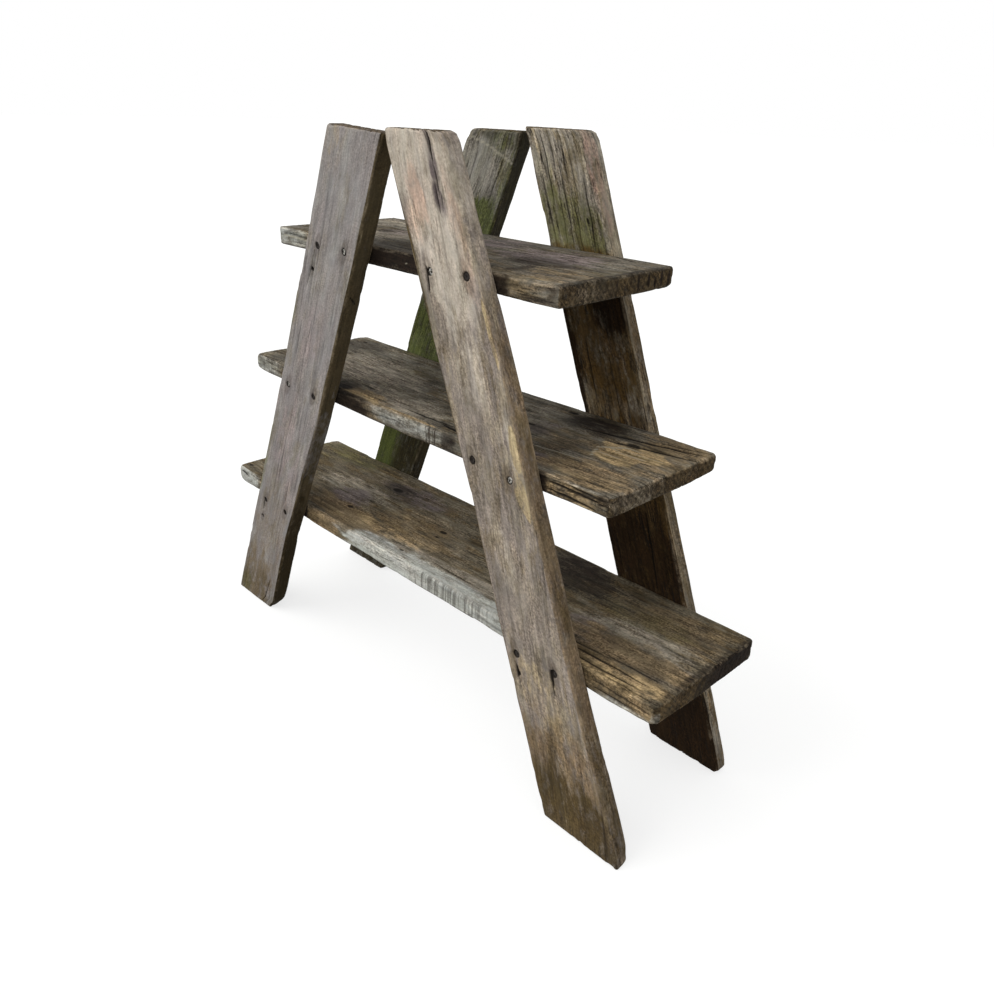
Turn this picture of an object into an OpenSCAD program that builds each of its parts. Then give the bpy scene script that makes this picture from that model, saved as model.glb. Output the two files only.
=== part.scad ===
// Tiered plant stand: two pairs of splayed legs clasp three shelf boards, which widen downwards.
// Every board is rough sawn timber, and two sunk wood screws hold each leg to each shelf.
// The origin is on the floor in the middle of the stand. +X runs along the shelves to the right,
// +Y runs to the back and +Z is up.

/* [Legs] */
// Gap between the two top corners of a pair of legs
crown_gap = 0.6; // [0.2:0.1:6]
// Where the front pair meets, to the right of the middle of the bottom shelf
front_crown_x = 25; // [-60:1:60]
// Where the rear pair meets, to the right of the middle of the bottom shelf
rear_crown_x = 20; // [-60:1:60]
// Radius of the worn corner at each inner top
leg_top_inner_r = 4; // [1:0.5:10]
// Radius of the worn corner at each outer top
leg_top_outer_r = 9; // [1:0.5:20]
// Radius of the worn corner at each inner foot
leg_foot_inner_r = 4; // [1:0.5:15]
// Radius of the worn corner at each outer foot
leg_foot_outer_r = 7; // [1:0.5:20]

/* [Front left leg] */
// Height of the inner top corner
front_left_h_inner = 894; // [860:1:950]
// Height of the outer top corner
front_left_h_outer = 902; // [860:1:950]
// Distance of the foot's inner corner from the line below the crown
front_left_reach = 397; // [200:1:500]
// Width of the board at the top
front_left_top_w = 115.5; // [80:0.5:160]
// Thickness of the board
front_left_t = 30; // [18:0.5:50]
// Width of the board at the foot
front_left_foot_w = 116.5; // [80:0.5:160]

/* [Front right leg] */
// Height of the inner top corner
front_right_h_inner = 901; // [860:1:950]
// Height of the outer top corner
front_right_h_outer = 901; // [860:1:950]
// Distance of the foot's inner corner from the line below the crown
front_right_reach = 344; // [200:1:500]
// Width of the board at the top
front_right_top_w = 107; // [80:0.5:160]
// Thickness of the board
front_right_t = 28.5; // [18:0.5:50]
// Width of the board at the foot
front_right_foot_w = 129; // [80:0.5:160]

/* [Rear left leg] */
// Height of the inner top corner
rear_left_h_inner = 897; // [860:1:950]
// Height of the outer top corner
rear_left_h_outer = 898; // [860:1:950]
// Distance of the foot's inner corner from the line below the crown
rear_left_reach = 383; // [200:1:500]
// Width of the board at the top
rear_left_top_w = 111; // [80:0.5:160]
// Thickness of the board
rear_left_t = 28; // [18:0.5:50]
// Width of the board at the foot
rear_left_foot_w = 113; // [80:0.5:160]

/* [Rear right leg] */
// Height of the inner top corner
rear_right_h_inner = 904; // [860:1:950]
// Height of the outer top corner
rear_right_h_outer = 903; // [860:1:950]
// Distance of the foot's inner corner from the line below the crown
rear_right_reach = 342; // [200:1:500]
// Width of the board at the top
rear_right_top_w = 114; // [80:0.5:160]
// Thickness of the board
rear_right_t = 26; // [18:0.5:50]
// Width of the board at the foot
rear_right_foot_w = 123; // [80:0.5:160]

/* [Shelves] */
// Depth of the shelf boards, from the front legs to the rear legs
shelf_depth = 232; // [150:1:320]
// Radius of the worn edges along the top and the underside
shelf_edge_r = 5; // [1:0.5:8]
// Radius of the worn edges across the two ends
shelf_end_r = 6; // [1:0.5:9]

/* [Top shelf] */
// Height of the upper face above the floor
top_shelf_z = 744; // [700:1:790]
// Thickness of the board
top_shelf_t = 28.5; // [22:0.5:45]
// Length of the board
top_shelf_l = 610; // [570:1:700]
// Shift of the board's middle to the right of the middle of the bottom shelf
top_shelf_x = 11; // [-20:1:60]
// Corner radii seen from above: front left, front right, rear right, rear left
top_shelf_corners = [8, 6, 7, 8]; // [1:1:25]

/* [Middle shelf] */
// Height of the upper face above the floor
middle_shelf_z = 509; // [420:1:640]
// Thickness of the board
middle_shelf_t = 28.5; // [22:0.5:45]
// Length of the board
middle_shelf_l = 817; // [750:1:950]
// Shift of the board's middle to the right of the middle of the bottom shelf
middle_shelf_x = 8; // [-40:1:40]
// Corner radii seen from above: front left, front right, rear right, rear left
middle_shelf_corners = [14, 6, 15, 15]; // [1:1:25]

/* [Bottom shelf] */
// Height of the upper face above the floor
bottom_shelf_z = 261; // [150:1:380]
// Thickness of the board
bottom_shelf_t = 31.5; // [22:0.5:45]
// Length of the board
bottom_shelf_l = 1030; // [950:1:1200]
// Corner radii seen from above: front left, front right, rear right, rear left
bottom_shelf_corners = [14, 5, 12, 8]; // [1:1:25]

/* [Screws] */
// Length of a screw from its head to its point
screw_l = 65; // [45:1:90]
// Diameter of a screw's countersunk head
screw_head_d = 9; // [7:0.1:11]
// Diameter over a screw's thread
screw_thread_d = 5; // [3.5:0.1:6]
// Depth of the thread's groove
screw_thread_depth = 0.8; // [0.4:0.1:1.2]
// Distance from one turn of the thread to the next
screw_pitch = 2.6; // [1.6:0.1:4]
// Length of the plain shank below the head
screw_shank_l = 24; // [10:1:34]
// Length of the tapered point
screw_point_l = 7; // [4:0.5:10]
// Height of the flat rim around the head
screw_rim_h = 0.6; // [0.3:0.1:1]
// Depth that a head is sunk below the face of its leg
screw_sink = 3; // [1:0.5:6]
// Clearance all round between a screw and its hole
screw_clearance = 0.05; // [0.02:0.01:0.3]
// Distance of a screw's middle from the edge of its leg, along the shelf
screw_inset = 28; // [18:1:38]
// How far a screw strays sideways at most
screw_stray_x = 7; // [0:0.5:10]
// How far a screw strays up or down at most
screw_stray_z = 8; // [0:0.5:8]
// Length of a slot of the cross recess
recess_l = 4.6; // [3.5:0.1:5.5]
// Width of a slot of the cross recess
recess_w = 1.1; // [0.7:0.1:1.5]
// Depth of the cross recess
recess_depth = 1.9; // [1:0.1:2.2]

/* [Wear] */
// Width of the worn flat along each long edge of a leg
arris = 2.5; // [0.5:0.5:5]
// Diameter of the old nail holes
nail_hole_d = 5; // [2:0.5:7]
// Depth of the old nail holes
nail_hole_depth = 12; // [4:1:15]
// Depth of an old nail hole's middle below the middle of the nearest shelf
nail_hole_drop = 34; // [28:1:50]

/* [Hidden] */
$fn = 48;
// Points along a quarter of a rounded corner
arc_steps = 5;
// Overshoot of a cutting shape beyond the face that it cuts
eps = 1;
// The bottom shelf is what the other pieces are placed from
bottom_shelf_x = 0;
// Where a ridge of the thread rises, peaks and ends, as shares of the pitch
ridge_start = 0.3;
ridge_peak = 0.55;
ridge_end = 0.8;
// Turn of the first screw's recess, and from each screw's recess to the next one's, in degrees
first_turn = 25;
next_turn = 37;

// Front and rear edges of the shelves, set so that the legs reach as far to the front as to the back
front_y = -shelf_depth / 2 + (max(front_left_t, front_right_t) - max(rear_left_t, rear_right_t)) / 2;
rear_y = front_y + shelf_depth;

// A leg: name, side of the crown (-1 left, 1 right), whether in front, crown line, inner and outer
// height of its top, reach, width at the top and at the foot, thickness
LEGS = [
    ["front_left", -1, true, front_crown_x, front_left_h_inner, front_left_h_outer,
        front_left_reach, front_left_top_w, front_left_foot_w, front_left_t],
    ["front_right", 1, true, front_crown_x, front_right_h_inner, front_right_h_outer,
        front_right_reach, front_right_top_w, front_right_foot_w, front_right_t],
    ["rear_left", -1, false, rear_crown_x, rear_left_h_inner, rear_left_h_outer,
        rear_left_reach, rear_left_top_w, rear_left_foot_w, rear_left_t],
    ["rear_right", 1, false, rear_crown_x, rear_right_h_inner, rear_right_h_outer,
        rear_right_reach, rear_right_top_w, rear_right_foot_w, rear_right_t],
];

// A shelf: name, height of the upper face, thickness, length, middle, corner radii
SHELVES = [
    ["top_shelf", top_shelf_z, top_shelf_t, top_shelf_l, top_shelf_x, top_shelf_corners],
    ["middle_shelf", middle_shelf_z, middle_shelf_t, middle_shelf_l, middle_shelf_x,
        middle_shelf_corners],
    ["bottom_shelf", bottom_shelf_z, bottom_shelf_t, bottom_shelf_l, bottom_shelf_x,
        bottom_shelf_corners],
];

// How each leg's two screws stray at the top, middle and bottom shelf, as shares of the most that a
// screw strays: outwards and upwards for the inner screw, then for the outer screw
STRAY = [
    [[[0.2, 0.5], [-0.5, 0.6]], [[-0.15, -0.15], [0.35, 0.2]], [[-0.3, -0.15], [-0.45, 0.15]]],
    [[[0, 0.5], [0.8, 1]], [[-0.8, 0.75], [-0.75, 0]], [[-0.5, -0.2], [-0.75, 0.4]]],
    [[[0.4, 0.2], [-0.5, -0.4]], [[0, 0.5], [-0.2, -0.3]], [[0.6, -0.2], [0.1, 0.4]]],
    [[[-0.4, 0.3], [0.6, -0.1]], [[0.3, -0.5], [-0.4, 0.1]], [[-0.2, 0.5], [0.4, -0.3]]],
];

// Old nail holes: number of the leg, number of the shelf that the hole is below, and its place
// across the leg as a share of the width from the inner edge
NAIL_HOLES = [[0, 0, 0.75], [0, 2, 0.73], [1, 2, 0.16]];

function screws_name(leg, shelf) = str(shelf[0], "_screws_", leg[0]);

// Distance from the crown line to a leg's inner edge at a height
function inner_x(leg, z) = leg[6] + (crown_gap / 2 - leg[6]) * z / leg[4];
// Width of a leg along the floor's direction at a height, from its width square to its inner edge
function level_w(leg, z) =
    (leg[8] + (leg[7] - leg[8]) * z / leg[4]) / cos(atan2(leg[6] - crown_gap / 2, leg[4]));
function outer_x(leg, z) = inner_x(leg, z) + level_w(leg, z);
// Place across a leg at a height, as a share of the width from the inner edge, in the stand's frame
function across_x(leg, z, share) = leg[3] + leg[1] * (inner_x(leg, z) + share * level_w(leg, z));
// Outer face of a leg, away from the shelves
function leg_face_y(leg) = leg[2] ? front_y - leg[9] : rear_y + leg[9];

function unit(v) = v / norm(v);
// Points of the arc that rounds the corner q between its neighbours p and r
function corner_arc(p, q, r, radius) =
    let(
        a = unit(p - q),
        b = unit(r - q),
        half = acos(a * b) / 2,
        middle = q + unit(a + b) * radius / sin(half),
        start = q + a * radius / tan(half) - middle,
        end = q + b * radius / tan(half) - middle,
        turn = 180 - 2 * half,
        way = start[0] * end[1] - start[1] * end[0] > 0 ? 1 : -1
    )
    [for (i = [0:arc_steps])
        let(angle = way * turn * i / arc_steps)
        middle + [start[0] * cos(angle) - start[1] * sin(angle),
                  start[0] * sin(angle) + start[1] * cos(angle)]];
// A polygon with each of its corners rounded by its own radius
function rounded(points, radii) =
    let(n = len(points))
    [for (i = [0:n - 1])
        each corner_arc(points[(i + n - 1) % n], points[i], points[(i + 1) % n], radii[i])];
function box_points(x0, x1, y0, y1) = [[x0, y0], [x1, y0], [x1, y1], [x0, y1]];

// Corners of a leg's outline: inner top, inner foot, outer foot, outer top, to the right of its crown
function leg_points(leg) = [
    [inner_x(leg, leg[4]), leg[4]],
    [inner_x(leg, 0), 0],
    [outer_x(leg, 0), 0],
    [outer_x(leg, leg[5]), leg[5]],
];

// Middle of a screw's head: the inner screw has end 0 and the outer screw has end 1
function screw_place(l, s, end) =
    let(
        leg = LEGS[l],
        shelf = SHELVES[s],
        stray = STRAY[l][s][end],
        z = shelf[1] - shelf[2] / 2 + stray[1] * screw_stray_z,
        edge_x = end == 0 ? inner_x(leg, z) + screw_inset : outer_x(leg, z) - screw_inset
    )
    [leg[3] + leg[1] * (edge_x + stray[0] * screw_stray_x), leg_face_y(leg), z];

// Turns a shape that stands on +Z from a leg's outer face into the wood, towards the shelf
module into_leg(place, front) {
    translate(place)
        rotate([front ? -90 : 90, 0, 0])
            children();
}

// Half outline of a screw along its axis, wider all round by a clearance, from the head at y = 0
module screw_profile(clear, threaded) {
    head_r = screw_head_d / 2 + clear;
    shank_r = screw_thread_d / 2 - screw_thread_depth / 2 + clear;
    thread_r = screw_thread_d / 2 + clear;
    root_r = thread_r - screw_thread_depth;
    cone_end = screw_rim_h + head_r - shank_r;
    turns = floor((screw_l - screw_shank_l - screw_point_l) / screw_pitch);
    ridges = threaded
        ? [for (i = [0:turns - 1])
            let(z = screw_shank_l + i * screw_pitch)
            each [[root_r, z + screw_pitch * ridge_start], [thread_r, z + screw_pitch * ridge_peak],
                  [root_r, z + screw_pitch * ridge_end]]]
        : [[thread_r, screw_shank_l - clear], [thread_r, screw_l - screw_point_l]];
    polygon(concat(
        [[0, 0], [head_r, 0], [head_r, screw_rim_h], [shank_r, cone_end],
         [shank_r, screw_shank_l - clear]],
        ridges,
        [[root_r, screw_l - screw_point_l + clear], [0, screw_l + clear]]
    ));
}

// One countersunk wood screw with its head at z = 0 and its point at z = screw_l
module screw() {
    difference() {
        rotate_extrude()
            screw_profile(0, true);
        for (turn = [0, 90])
            rotate([0, 0, turn])
                translate([-recess_l / 2, -recess_w / 2, -eps])
                    cube([recess_l, recess_w, recess_depth + eps]);
    }
}

// The space that a sunk screw takes in the wood, with the open hole above its head
module screw_hole() {
    translate([0, 0, screw_sink])
        rotate_extrude()
            screw_profile(screw_clearance, false);
    translate([0, 0, -eps])
        cylinder(r = screw_head_d / 2 + screw_clearance, h = eps + screw_sink + screw_rim_h / 2);
}

module screw_holes(l, s) {
    for (end = [0, 1])
        into_leg(screw_place(l, s, end), LEGS[l][2])
            screw_hole();
}

// The two screws that hold leg number l to shelf number s
module screw_pair(l, s) {
    color("#8d8a83")
        for (end = [0, 1])
            into_leg(screw_place(l, s, end), LEGS[l][2])
                translate([0, 0, screw_sink])
                    rotate([0, 0, first_turn + next_turn * (l + 2 * s + end)])
                        screw();
}

// Cuts the worn flat along the edge from p to q of an outline, on both faces of a board at y0 and y1
module worn_edge(p, q, y0, y1) {
    run = q - p;
    side = arris * sqrt(2);
    for (y = [y0, y1])
        translate([p[0], y, p[1]])
            rotate([0, -atan2(run[1], run[0]), 0])
                rotate([45, 0, 0])
                    translate([-eps, -side / 2, -side / 2])
                        cube([norm(run) + 2 * eps, side, side]);
}

// One leg board, with its worn edges, screw holes and old nail holes
module leg_board(l, tint) {
    leg = LEGS[l];
    corners = leg_points(leg);
    radii = [leg_top_inner_r, leg_foot_inner_r, leg_foot_outer_r, leg_top_outer_r];
    y0 = leg[2] ? front_y - leg[9] : rear_y;
    y1 = y0 + leg[9];
    color(tint)
        difference() {
            translate([leg[3], 0, 0])
                mirror([leg[1] < 0 ? 1 : 0, 0, 0])
                    difference() {
                        translate([0, y1, 0])
                            rotate([90, 0, 0])
                                linear_extrude(height = leg[9])
                                    polygon(rounded(corners, radii));
                        for (i = [0:3])
                            worn_edge(corners[i], corners[(i + 1) % 4], y0, y1);
                    }
            for (s = [0:2])
                screw_holes(l, s);
            for (hole = NAIL_HOLES)
                if (hole[0] == l)
                    nail_hole(hole);
        }
}

module nail_hole(hole) {
    leg = LEGS[hole[0]];
    shelf = SHELVES[hole[1]];
    z = shelf[1] - shelf[2] / 2 - nail_hole_drop;
    into_leg([across_x(leg, z, hole[2]), leg_face_y(leg), z], leg[2])
        translate([0, 0, -eps])
            cylinder(d = nail_hole_d, h = nail_hole_depth + eps);
}

// One shelf board, rounded in all three views, with the holes of its screws
module shelf_board(s, tint) {
    shelf = SHELVES[s];
    x0 = shelf[4] - shelf[3] / 2;
    x1 = shelf[4] + shelf[3] / 2;
    z0 = shelf[1] - shelf[2];
    edge_radii = [for (i = [0:3]) shelf_edge_r];
    end_radii = [for (i = [0:3]) shelf_end_r];
    color(tint)
        difference() {
            intersection() {
                translate([0, 0, z0])
                    linear_extrude(height = shelf[2])
                        polygon(rounded(box_points(x0, x1, front_y, rear_y), shelf[5]));
                translate([x0, 0, 0])
                    rotate([90, 0, 90])
                        linear_extrude(height = shelf[3])
                            polygon(rounded(box_points(front_y, rear_y, z0, shelf[1]), edge_radii));
                translate([0, rear_y, 0])
                    rotate([90, 0, 0])
                        linear_extrude(height = shelf_depth)
                            polygon(rounded(box_points(x0, x1, z0, shelf[1]), end_radii));
            }
            for (l = [0:3])
                screw_holes(l, s);
        }
}

module front_left_leg() {
    leg_board(0, "#8f8a84");
}

module front_right_leg() {
    leg_board(1, "#94897b");
}

module rear_left_leg() {
    leg_board(2, "#6f6a4e");
}

module rear_right_leg() {
    leg_board(3, "#5f5444");
}

module top_shelf() {
    shelf_board(0, "#75695b");
}

module middle_shelf() {
    shelf_board(1, "#70624f");
}

module bottom_shelf() {
    shelf_board(2, "#63543f");
}

front_left_leg();
front_right_leg();
rear_left_leg();
rear_right_leg();
top_shelf();
middle_shelf();
bottom_shelf();
for (l = [0:3])
    for (s = [0:2])
        screw_pair(l, s);
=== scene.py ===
# %% [markdown]
# # A tiered plant stand of weathered boards
#
# The stand is seven old boards and twenty-four wood screws. Two pairs of splayed legs clasp three
# shelves, and years outdoors have turned the timber grey, brown and green. The construction comes
# finished from CAD, with its boards still plain and sharp. This lesson gives every board the form
# and the finish that weather gives, and lights it as in a studio.
#
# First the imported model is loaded. It is a fixed frame: nothing in it is moved or reshaped.

import bpy
import numpy as np
from mathutils import Matrix, Vector, geometry


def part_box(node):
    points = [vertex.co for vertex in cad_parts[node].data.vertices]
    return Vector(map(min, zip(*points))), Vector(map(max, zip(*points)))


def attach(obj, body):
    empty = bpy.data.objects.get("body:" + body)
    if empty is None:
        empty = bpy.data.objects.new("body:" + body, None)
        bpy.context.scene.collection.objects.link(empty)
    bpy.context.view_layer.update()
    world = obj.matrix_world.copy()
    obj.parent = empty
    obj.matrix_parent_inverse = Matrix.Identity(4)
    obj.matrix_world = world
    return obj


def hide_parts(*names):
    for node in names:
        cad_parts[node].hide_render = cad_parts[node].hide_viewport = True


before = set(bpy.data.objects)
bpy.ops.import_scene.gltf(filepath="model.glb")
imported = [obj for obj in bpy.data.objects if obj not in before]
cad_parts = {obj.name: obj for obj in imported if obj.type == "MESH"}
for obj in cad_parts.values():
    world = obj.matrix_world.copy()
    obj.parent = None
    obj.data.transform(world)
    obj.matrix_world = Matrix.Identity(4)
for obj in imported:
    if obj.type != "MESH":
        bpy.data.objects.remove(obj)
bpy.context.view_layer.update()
MM = 0.001
print("nodes:", len(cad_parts))

# %% [markdown]
# ## Camera
#
# The picture looks at the stand from the front right, a little above its top. A camera can be
# turned by hand until it fits, but a position, an aim and a small roll say the same thing in
# numbers that can be checked, so the camera's three axes are worked out from them.

# %% Camera at the picture's viewing angle
EYE = Vector((0.9781, -0.8623, 0.9285))
AIM = Vector((0.0939, 0.0144, 0.3623))
ROLL = 0.0338
FOCAL_LENGTH = 31.09
forward = (AIM - EYE).normalized()
right = forward.cross(Vector((0, 0, 1))).normalized()
upward = right.cross(forward)
rolled_right = right * np.cos(ROLL) + upward * np.sin(ROLL)
rolled_up = upward * np.cos(ROLL) - right * np.sin(ROLL)
lens = bpy.data.cameras.new("camera")
lens.lens = FOCAL_LENGTH
camera = bpy.data.objects.new("camera", lens)
turn = Matrix((rolled_right, rolled_up, -forward)).transposed().to_4x4()
camera.matrix_world = Matrix.Translation(EYE) @ turn
bpy.context.scene.collection.objects.link(camera)
bpy.context.scene.camera = camera
bpy.context.scene.view_settings.view_transform = "Standard"
print("camera looks down by", round(np.degrees(np.arcsin(-forward.z)), 1), "degrees")

# %% [markdown]
# ## Colours and nodes
#
# Colours are written as the hex values that a screen shows. Blender computes with linear light, so
# one function turns the first into the second. One more function adds a node to a material, with
# its settings, its plain values and its links, and every material below is made with it.

# %% Two helpers for materials
def linear(code):
    """Linear RGBA of a hex colour: c / 12.92 in the darkest part, ((c + 0.055) / 1.055) ^ 2.4 above it."""
    c = np.array([int(code[i : i + 2], 16) for i in (1, 3, 5)]) / 255
    c = np.where(c <= 0.04045, c / 12.92, ((c + 0.055) / 1.055) ** 2.4)
    return (*(float(x) for x in c), 1.0)


def socket_of(sockets, key):
    """The socket with that number, or the first one in use with that name."""
    if isinstance(key, int):
        return sockets[key]
    return next(s for s in sockets if s.name == key and s.enabled)


def add(tree, kind, inputs=(), stops=(), **settings):
    """Adds one node. Each input is given a plain value, or is linked to a node or to a socket."""
    node = tree.nodes.new(kind)
    for name, value in settings.items():
        setattr(node, name, value)
    for position, colour in stops:
        spare = position == stops[0][0] or position == stops[-1][0]
        index = 0 if position == stops[0][0] else len(node.color_ramp.elements) - 1
        element = node.color_ramp.elements[index] if spare else node.color_ramp.elements.new(position)
        element.position = position
        element.color = colour
    for key, value in dict(inputs).items():
        socket = socket_of(node.inputs, key)
        if isinstance(value, bpy.types.Node):
            value = next(s for s in value.outputs if s.enabled)
        if isinstance(value, bpy.types.NodeSocket):
            tree.links.new(value, socket)
        else:
            socket.default_value = value
    return node


print("weathered grey in linear light:", [round(x, 3) for x in linear("#857f7a")[:3]])

# %% [markdown]
# ## Studio
#
# The stand was photographed under soft light from above, against white. A pale floor carries its
# shadow. The floor could be lit until it turns white, but that would bleach the wood as well.
# Instead the floor and the world glow only towards the camera and in reflections, and the lamps
# stay at a plain level, at which a colour shows about as it is written.

# %% Floor, world and lamps
def new_material(name):
    """A material with its node tree emptied down to the output."""
    material = bpy.data.materials.new(name)
    material.use_nodes = True
    tree = material.node_tree
    tree.nodes.clear()
    return material, tree, tree.nodes.new("ShaderNodeOutputMaterial")


def seen_directly(tree):
    """1 for rays from the camera and for rays that are mirrored or pass through glass, otherwise 0."""
    path = add(tree, "ShaderNodeLightPath")
    mirrored = {0: path.outputs["Is Glossy Ray"], 1: path.outputs["Is Transmission Ray"]}
    mirrored = add(tree, "ShaderNodeMath", mirrored, operation="ADD")
    rays = {0: path.outputs["Is Camera Ray"], 1: mirrored}
    return add(tree, "ShaderNodeMath", rays, operation="ADD", use_clamp=True)


FLOOR_GREY = "#9a9a98"
FLOOR_GLOW = 0.72
floor_half = 40.0
floor_mesh = bpy.data.meshes.new("floor")
corners = [(x * floor_half, y * floor_half, 0) for x, y in ((-1, -1), (1, -1), (1, 1), (-1, 1))]
floor_mesh.from_pydata(corners, [], [(0, 1, 2, 3)])
floor = bpy.data.objects.new("floor", floor_mesh)
bpy.context.scene.collection.objects.link(floor)
paper, tree, output = new_material("matt_white_paper")
diffuse = add(tree, "ShaderNodeBsdfDiffuse", {"Color": linear(FLOOR_GREY)})
strength = add(tree, "ShaderNodeMath", {0: seen_directly(tree), 1: FLOOR_GLOW}, operation="MULTIPLY")
glow = add(tree, "ShaderNodeEmission", {"Strength": strength})
both = add(tree, "ShaderNodeAddShader", {0: diffuse, 1: glow})
tree.links.new(both.outputs[0], output.inputs["Surface"])
floor_mesh.materials.append(paper)

world = bpy.data.worlds.new("studio")
bpy.context.scene.world = world
world.use_nodes = True
tree = world.node_tree
tree.nodes.clear()
way_up = add(tree, "ShaderNodeSeparateXYZ", {0: add(tree, "ShaderNodeTexCoord").outputs["Generated"]})
height = add(tree, "ShaderNodeMapRange", {"Value": way_up.outputs["Z"], "To Min": 0.6, "To Max": 0.9})
sky = add(tree, "ShaderNodeBackground", {"Strength": height})
white = add(tree, "ShaderNodeBackground", {"Strength": 1.0})
white.inputs["Color"].default_value = linear("#ffffff")
sky.inputs["Color"].default_value = linear("#fcfdff")
seen = add(tree, "ShaderNodeMixShader", {0: seen_directly(tree), 1: sky, 2: white})
tree.links.new(seen.outputs[0], tree.nodes.new("ShaderNodeOutputWorld").inputs["Surface"])


def lamp(name, way, strength, angle):
    """A sun lamp that shines along `way`, with its disc `angle` degrees wide for soft shadows."""
    light = bpy.data.lights.new(name, "SUN")
    light.energy = strength
    light.angle = np.radians(angle)
    holder = bpy.data.objects.new(name, light)
    holder.matrix_world = Vector(way).to_track_quat("-Z", "Y").to_matrix().to_4x4()
    bpy.context.scene.collection.objects.link(holder)
    return holder


lamp("soft_box_left", (0.50, 0.64, -0.58), 1.9, 55)
lamp("soft_box_right", (-0.50, 0.64, -0.58), 0.35, 55)

# %% [markdown]
# ## Noise on whole arrays
#
# Wood is never regular, so nearly every measure below is varied by noise. Blender's textures only
# run inside materials, and the boards' forms need noise too, so a small one is written with numpy.
# It works on all points at once, and its table of random numbers is seeded, so every run gives the
# same stand.

# %% Smooth seeded noise
CHANCES = np.random.default_rng(11).random(8192)


def smooth(start, end, x):
    """0 before start, 1 after end, and 3t^2 - 2t^3 between them. It also falls where end is below start."""
    t = np.clip((x - start) / (end - start), 0, 1)
    return t * t * (3 - 2 * t)


def noise(p, seed=0):
    """Noise from 0 to 1 at points p. Each whole-numbered cell corner has a number, found by mixing the
    corner's coordinates times large primes. The eight corners around a point are blended smoothly."""
    cell = np.floor(p)
    t = (p - cell).T
    bx, by, bz = t * t * t * (t * (t * 6 - 15) + 10)
    x, y, z = cell.T.astype(np.int64)
    xs = (x * 73856093 ^ seed * 2654435761, (x + 1) * 73856093 ^ seed * 2654435761)
    ys = (y * 19349663, (y + 1) * 19349663)
    zs = (z * 83492791, (z + 1) * 83492791)
    sheets = []
    for k in (0, 1):
        rows = [CHANCES[(xs[0] ^ ys[j] ^ zs[k]) & 8191] for j in (0, 1)]
        ends = [CHANCES[(xs[1] ^ ys[j] ^ zs[k]) & 8191] for j in (0, 1)]
        rows = [a + (b - a) * bx for a, b in zip(rows, ends)]
        sheets.append(rows[0] + (rows[1] - rows[0]) * by)
    return sheets[0] + (sheets[1] - sheets[0]) * bz


def rough(p, layers=4, seed=0):
    """Layered noise from 0 to 1: each layer is twice as fine and weighs 0.55 of the one before."""
    weights = 0.55 ** np.arange(layers)
    sheets = [w * noise(p * 2.0**i + 31.7 * i, seed + i) for i, w in enumerate(weights)]
    return np.sum(sheets, axis=0) / weights.sum()


sample = rough(np.random.default_rng(3).random((2000, 3)) * 40)
print("noise runs from", round(sample.min(), 2), "to", round(sample.max(), 2))

# %% [markdown]
# ## The skin of a board
#
# A board could be a cube with a Bevel modifier, but a bevel is the same all along, and an old board
# is worn more in one place than in the next. Here a board is the skin of a fine lattice, with lines
# closer together where there is more to show: at the ends, at the edges and around the screws. Each
# board has its own measures in millimetres: u along it, v across it and w into it.

# %% Lattice lines and the skin between them
def lattice_lines(size, step, fine, places, reach):
    """Positions of lines from 0 to size: step apart, but fine apart within reach of a place. The running
    sum of 1 / spacing counts the lines, and a line lies wherever that sum is a whole number."""
    x = np.linspace(0, size, int(size * 6) + 1)
    near = np.abs(x[:, None] - np.array(places)[None, :]).min(axis=1)
    spacing = fine + (step - fine) * smooth(reach, 2 * reach, near)
    count = np.concatenate([[0], np.cumsum(np.diff(x) / spacing[1:])])
    return np.interp(np.linspace(0, count[-1], int(round(count[-1])) + 1), count, x)


def lattice_skin(us, vs, ws):
    """Points and quads of a box's six faces. The lattice's crossings on the skin are numbered in order,
    so neighbouring faces share their points, and every quad runs the same way round seen from outside."""
    shape = (len(us), len(vs), len(ws))
    at = np.indices(shape)
    last = np.array(shape).reshape(3, 1, 1, 1) - 1
    skin = ((at == 0) | (at == last)).any(axis=0)
    number = np.cumsum(skin.ravel()).reshape(shape) - 1
    points = np.stack([us[at[0][skin]], vs[at[1][skin]], ws[at[2][skin]]], axis=1)
    quads = []
    for axis in range(3):
        for end in (0, -1):
            sheet = np.take(number, end, axis=axis)
            ring = [sheet[:-1, :-1], sheet[1:, :-1], sheet[1:, 1:], sheet[:-1, 1:]]
            cells = np.stack([r.ravel() for r in ring], axis=1)
            quads.append(cells if (end == -1) == (axis != 1) else cells[:, ::-1])
    return points, np.concatenate(quads)


def round_off(q, size, radius):
    """A box with round edges: the nearest point of an inner box, smaller by the radius all round, plus
    the radius along the way from it. Returns the points and that way, which is also the outward normal."""
    inner = np.clip(q, radius, size - radius)
    way = q - inner
    way /= np.maximum(np.linalg.norm(way, axis=1, keepdims=True), 1e-9)
    return inner + radius * way, way


test_points, test_quads = lattice_skin(*(lattice_lines(s, 5, 2, [0, s], 4) for s in (90, 60, 30)))
print("a small test block has", len(test_points), "points and", len(test_quads), "quads")

# %% [markdown]
# ## Marks on a face
#
# Each stain, crack and knot of the real boards has its place. Marks are kept by the face that they
# are on, with where each is on that face and how large it is, in millimetres. A stain could be painted
# by hand on an image, but a few numbers and some noise give the same ragged outline at any size.

# %% Stains, cracks and knots
FACES = {"show": (2, -1), "back": (2, 1), "low": (1, -1), "high": (1, 1), "start": (0, -1), "end": (0, 1)}


def on_face(q, way, face):
    """The two measures along a face, and how squarely each point faces that way."""
    axis, sign = FACES[face]
    along, across = [i for i in range(3) if i != axis]
    return q[:, along], q[:, across], np.clip(way[:, axis] * sign, 0, 1)


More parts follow.
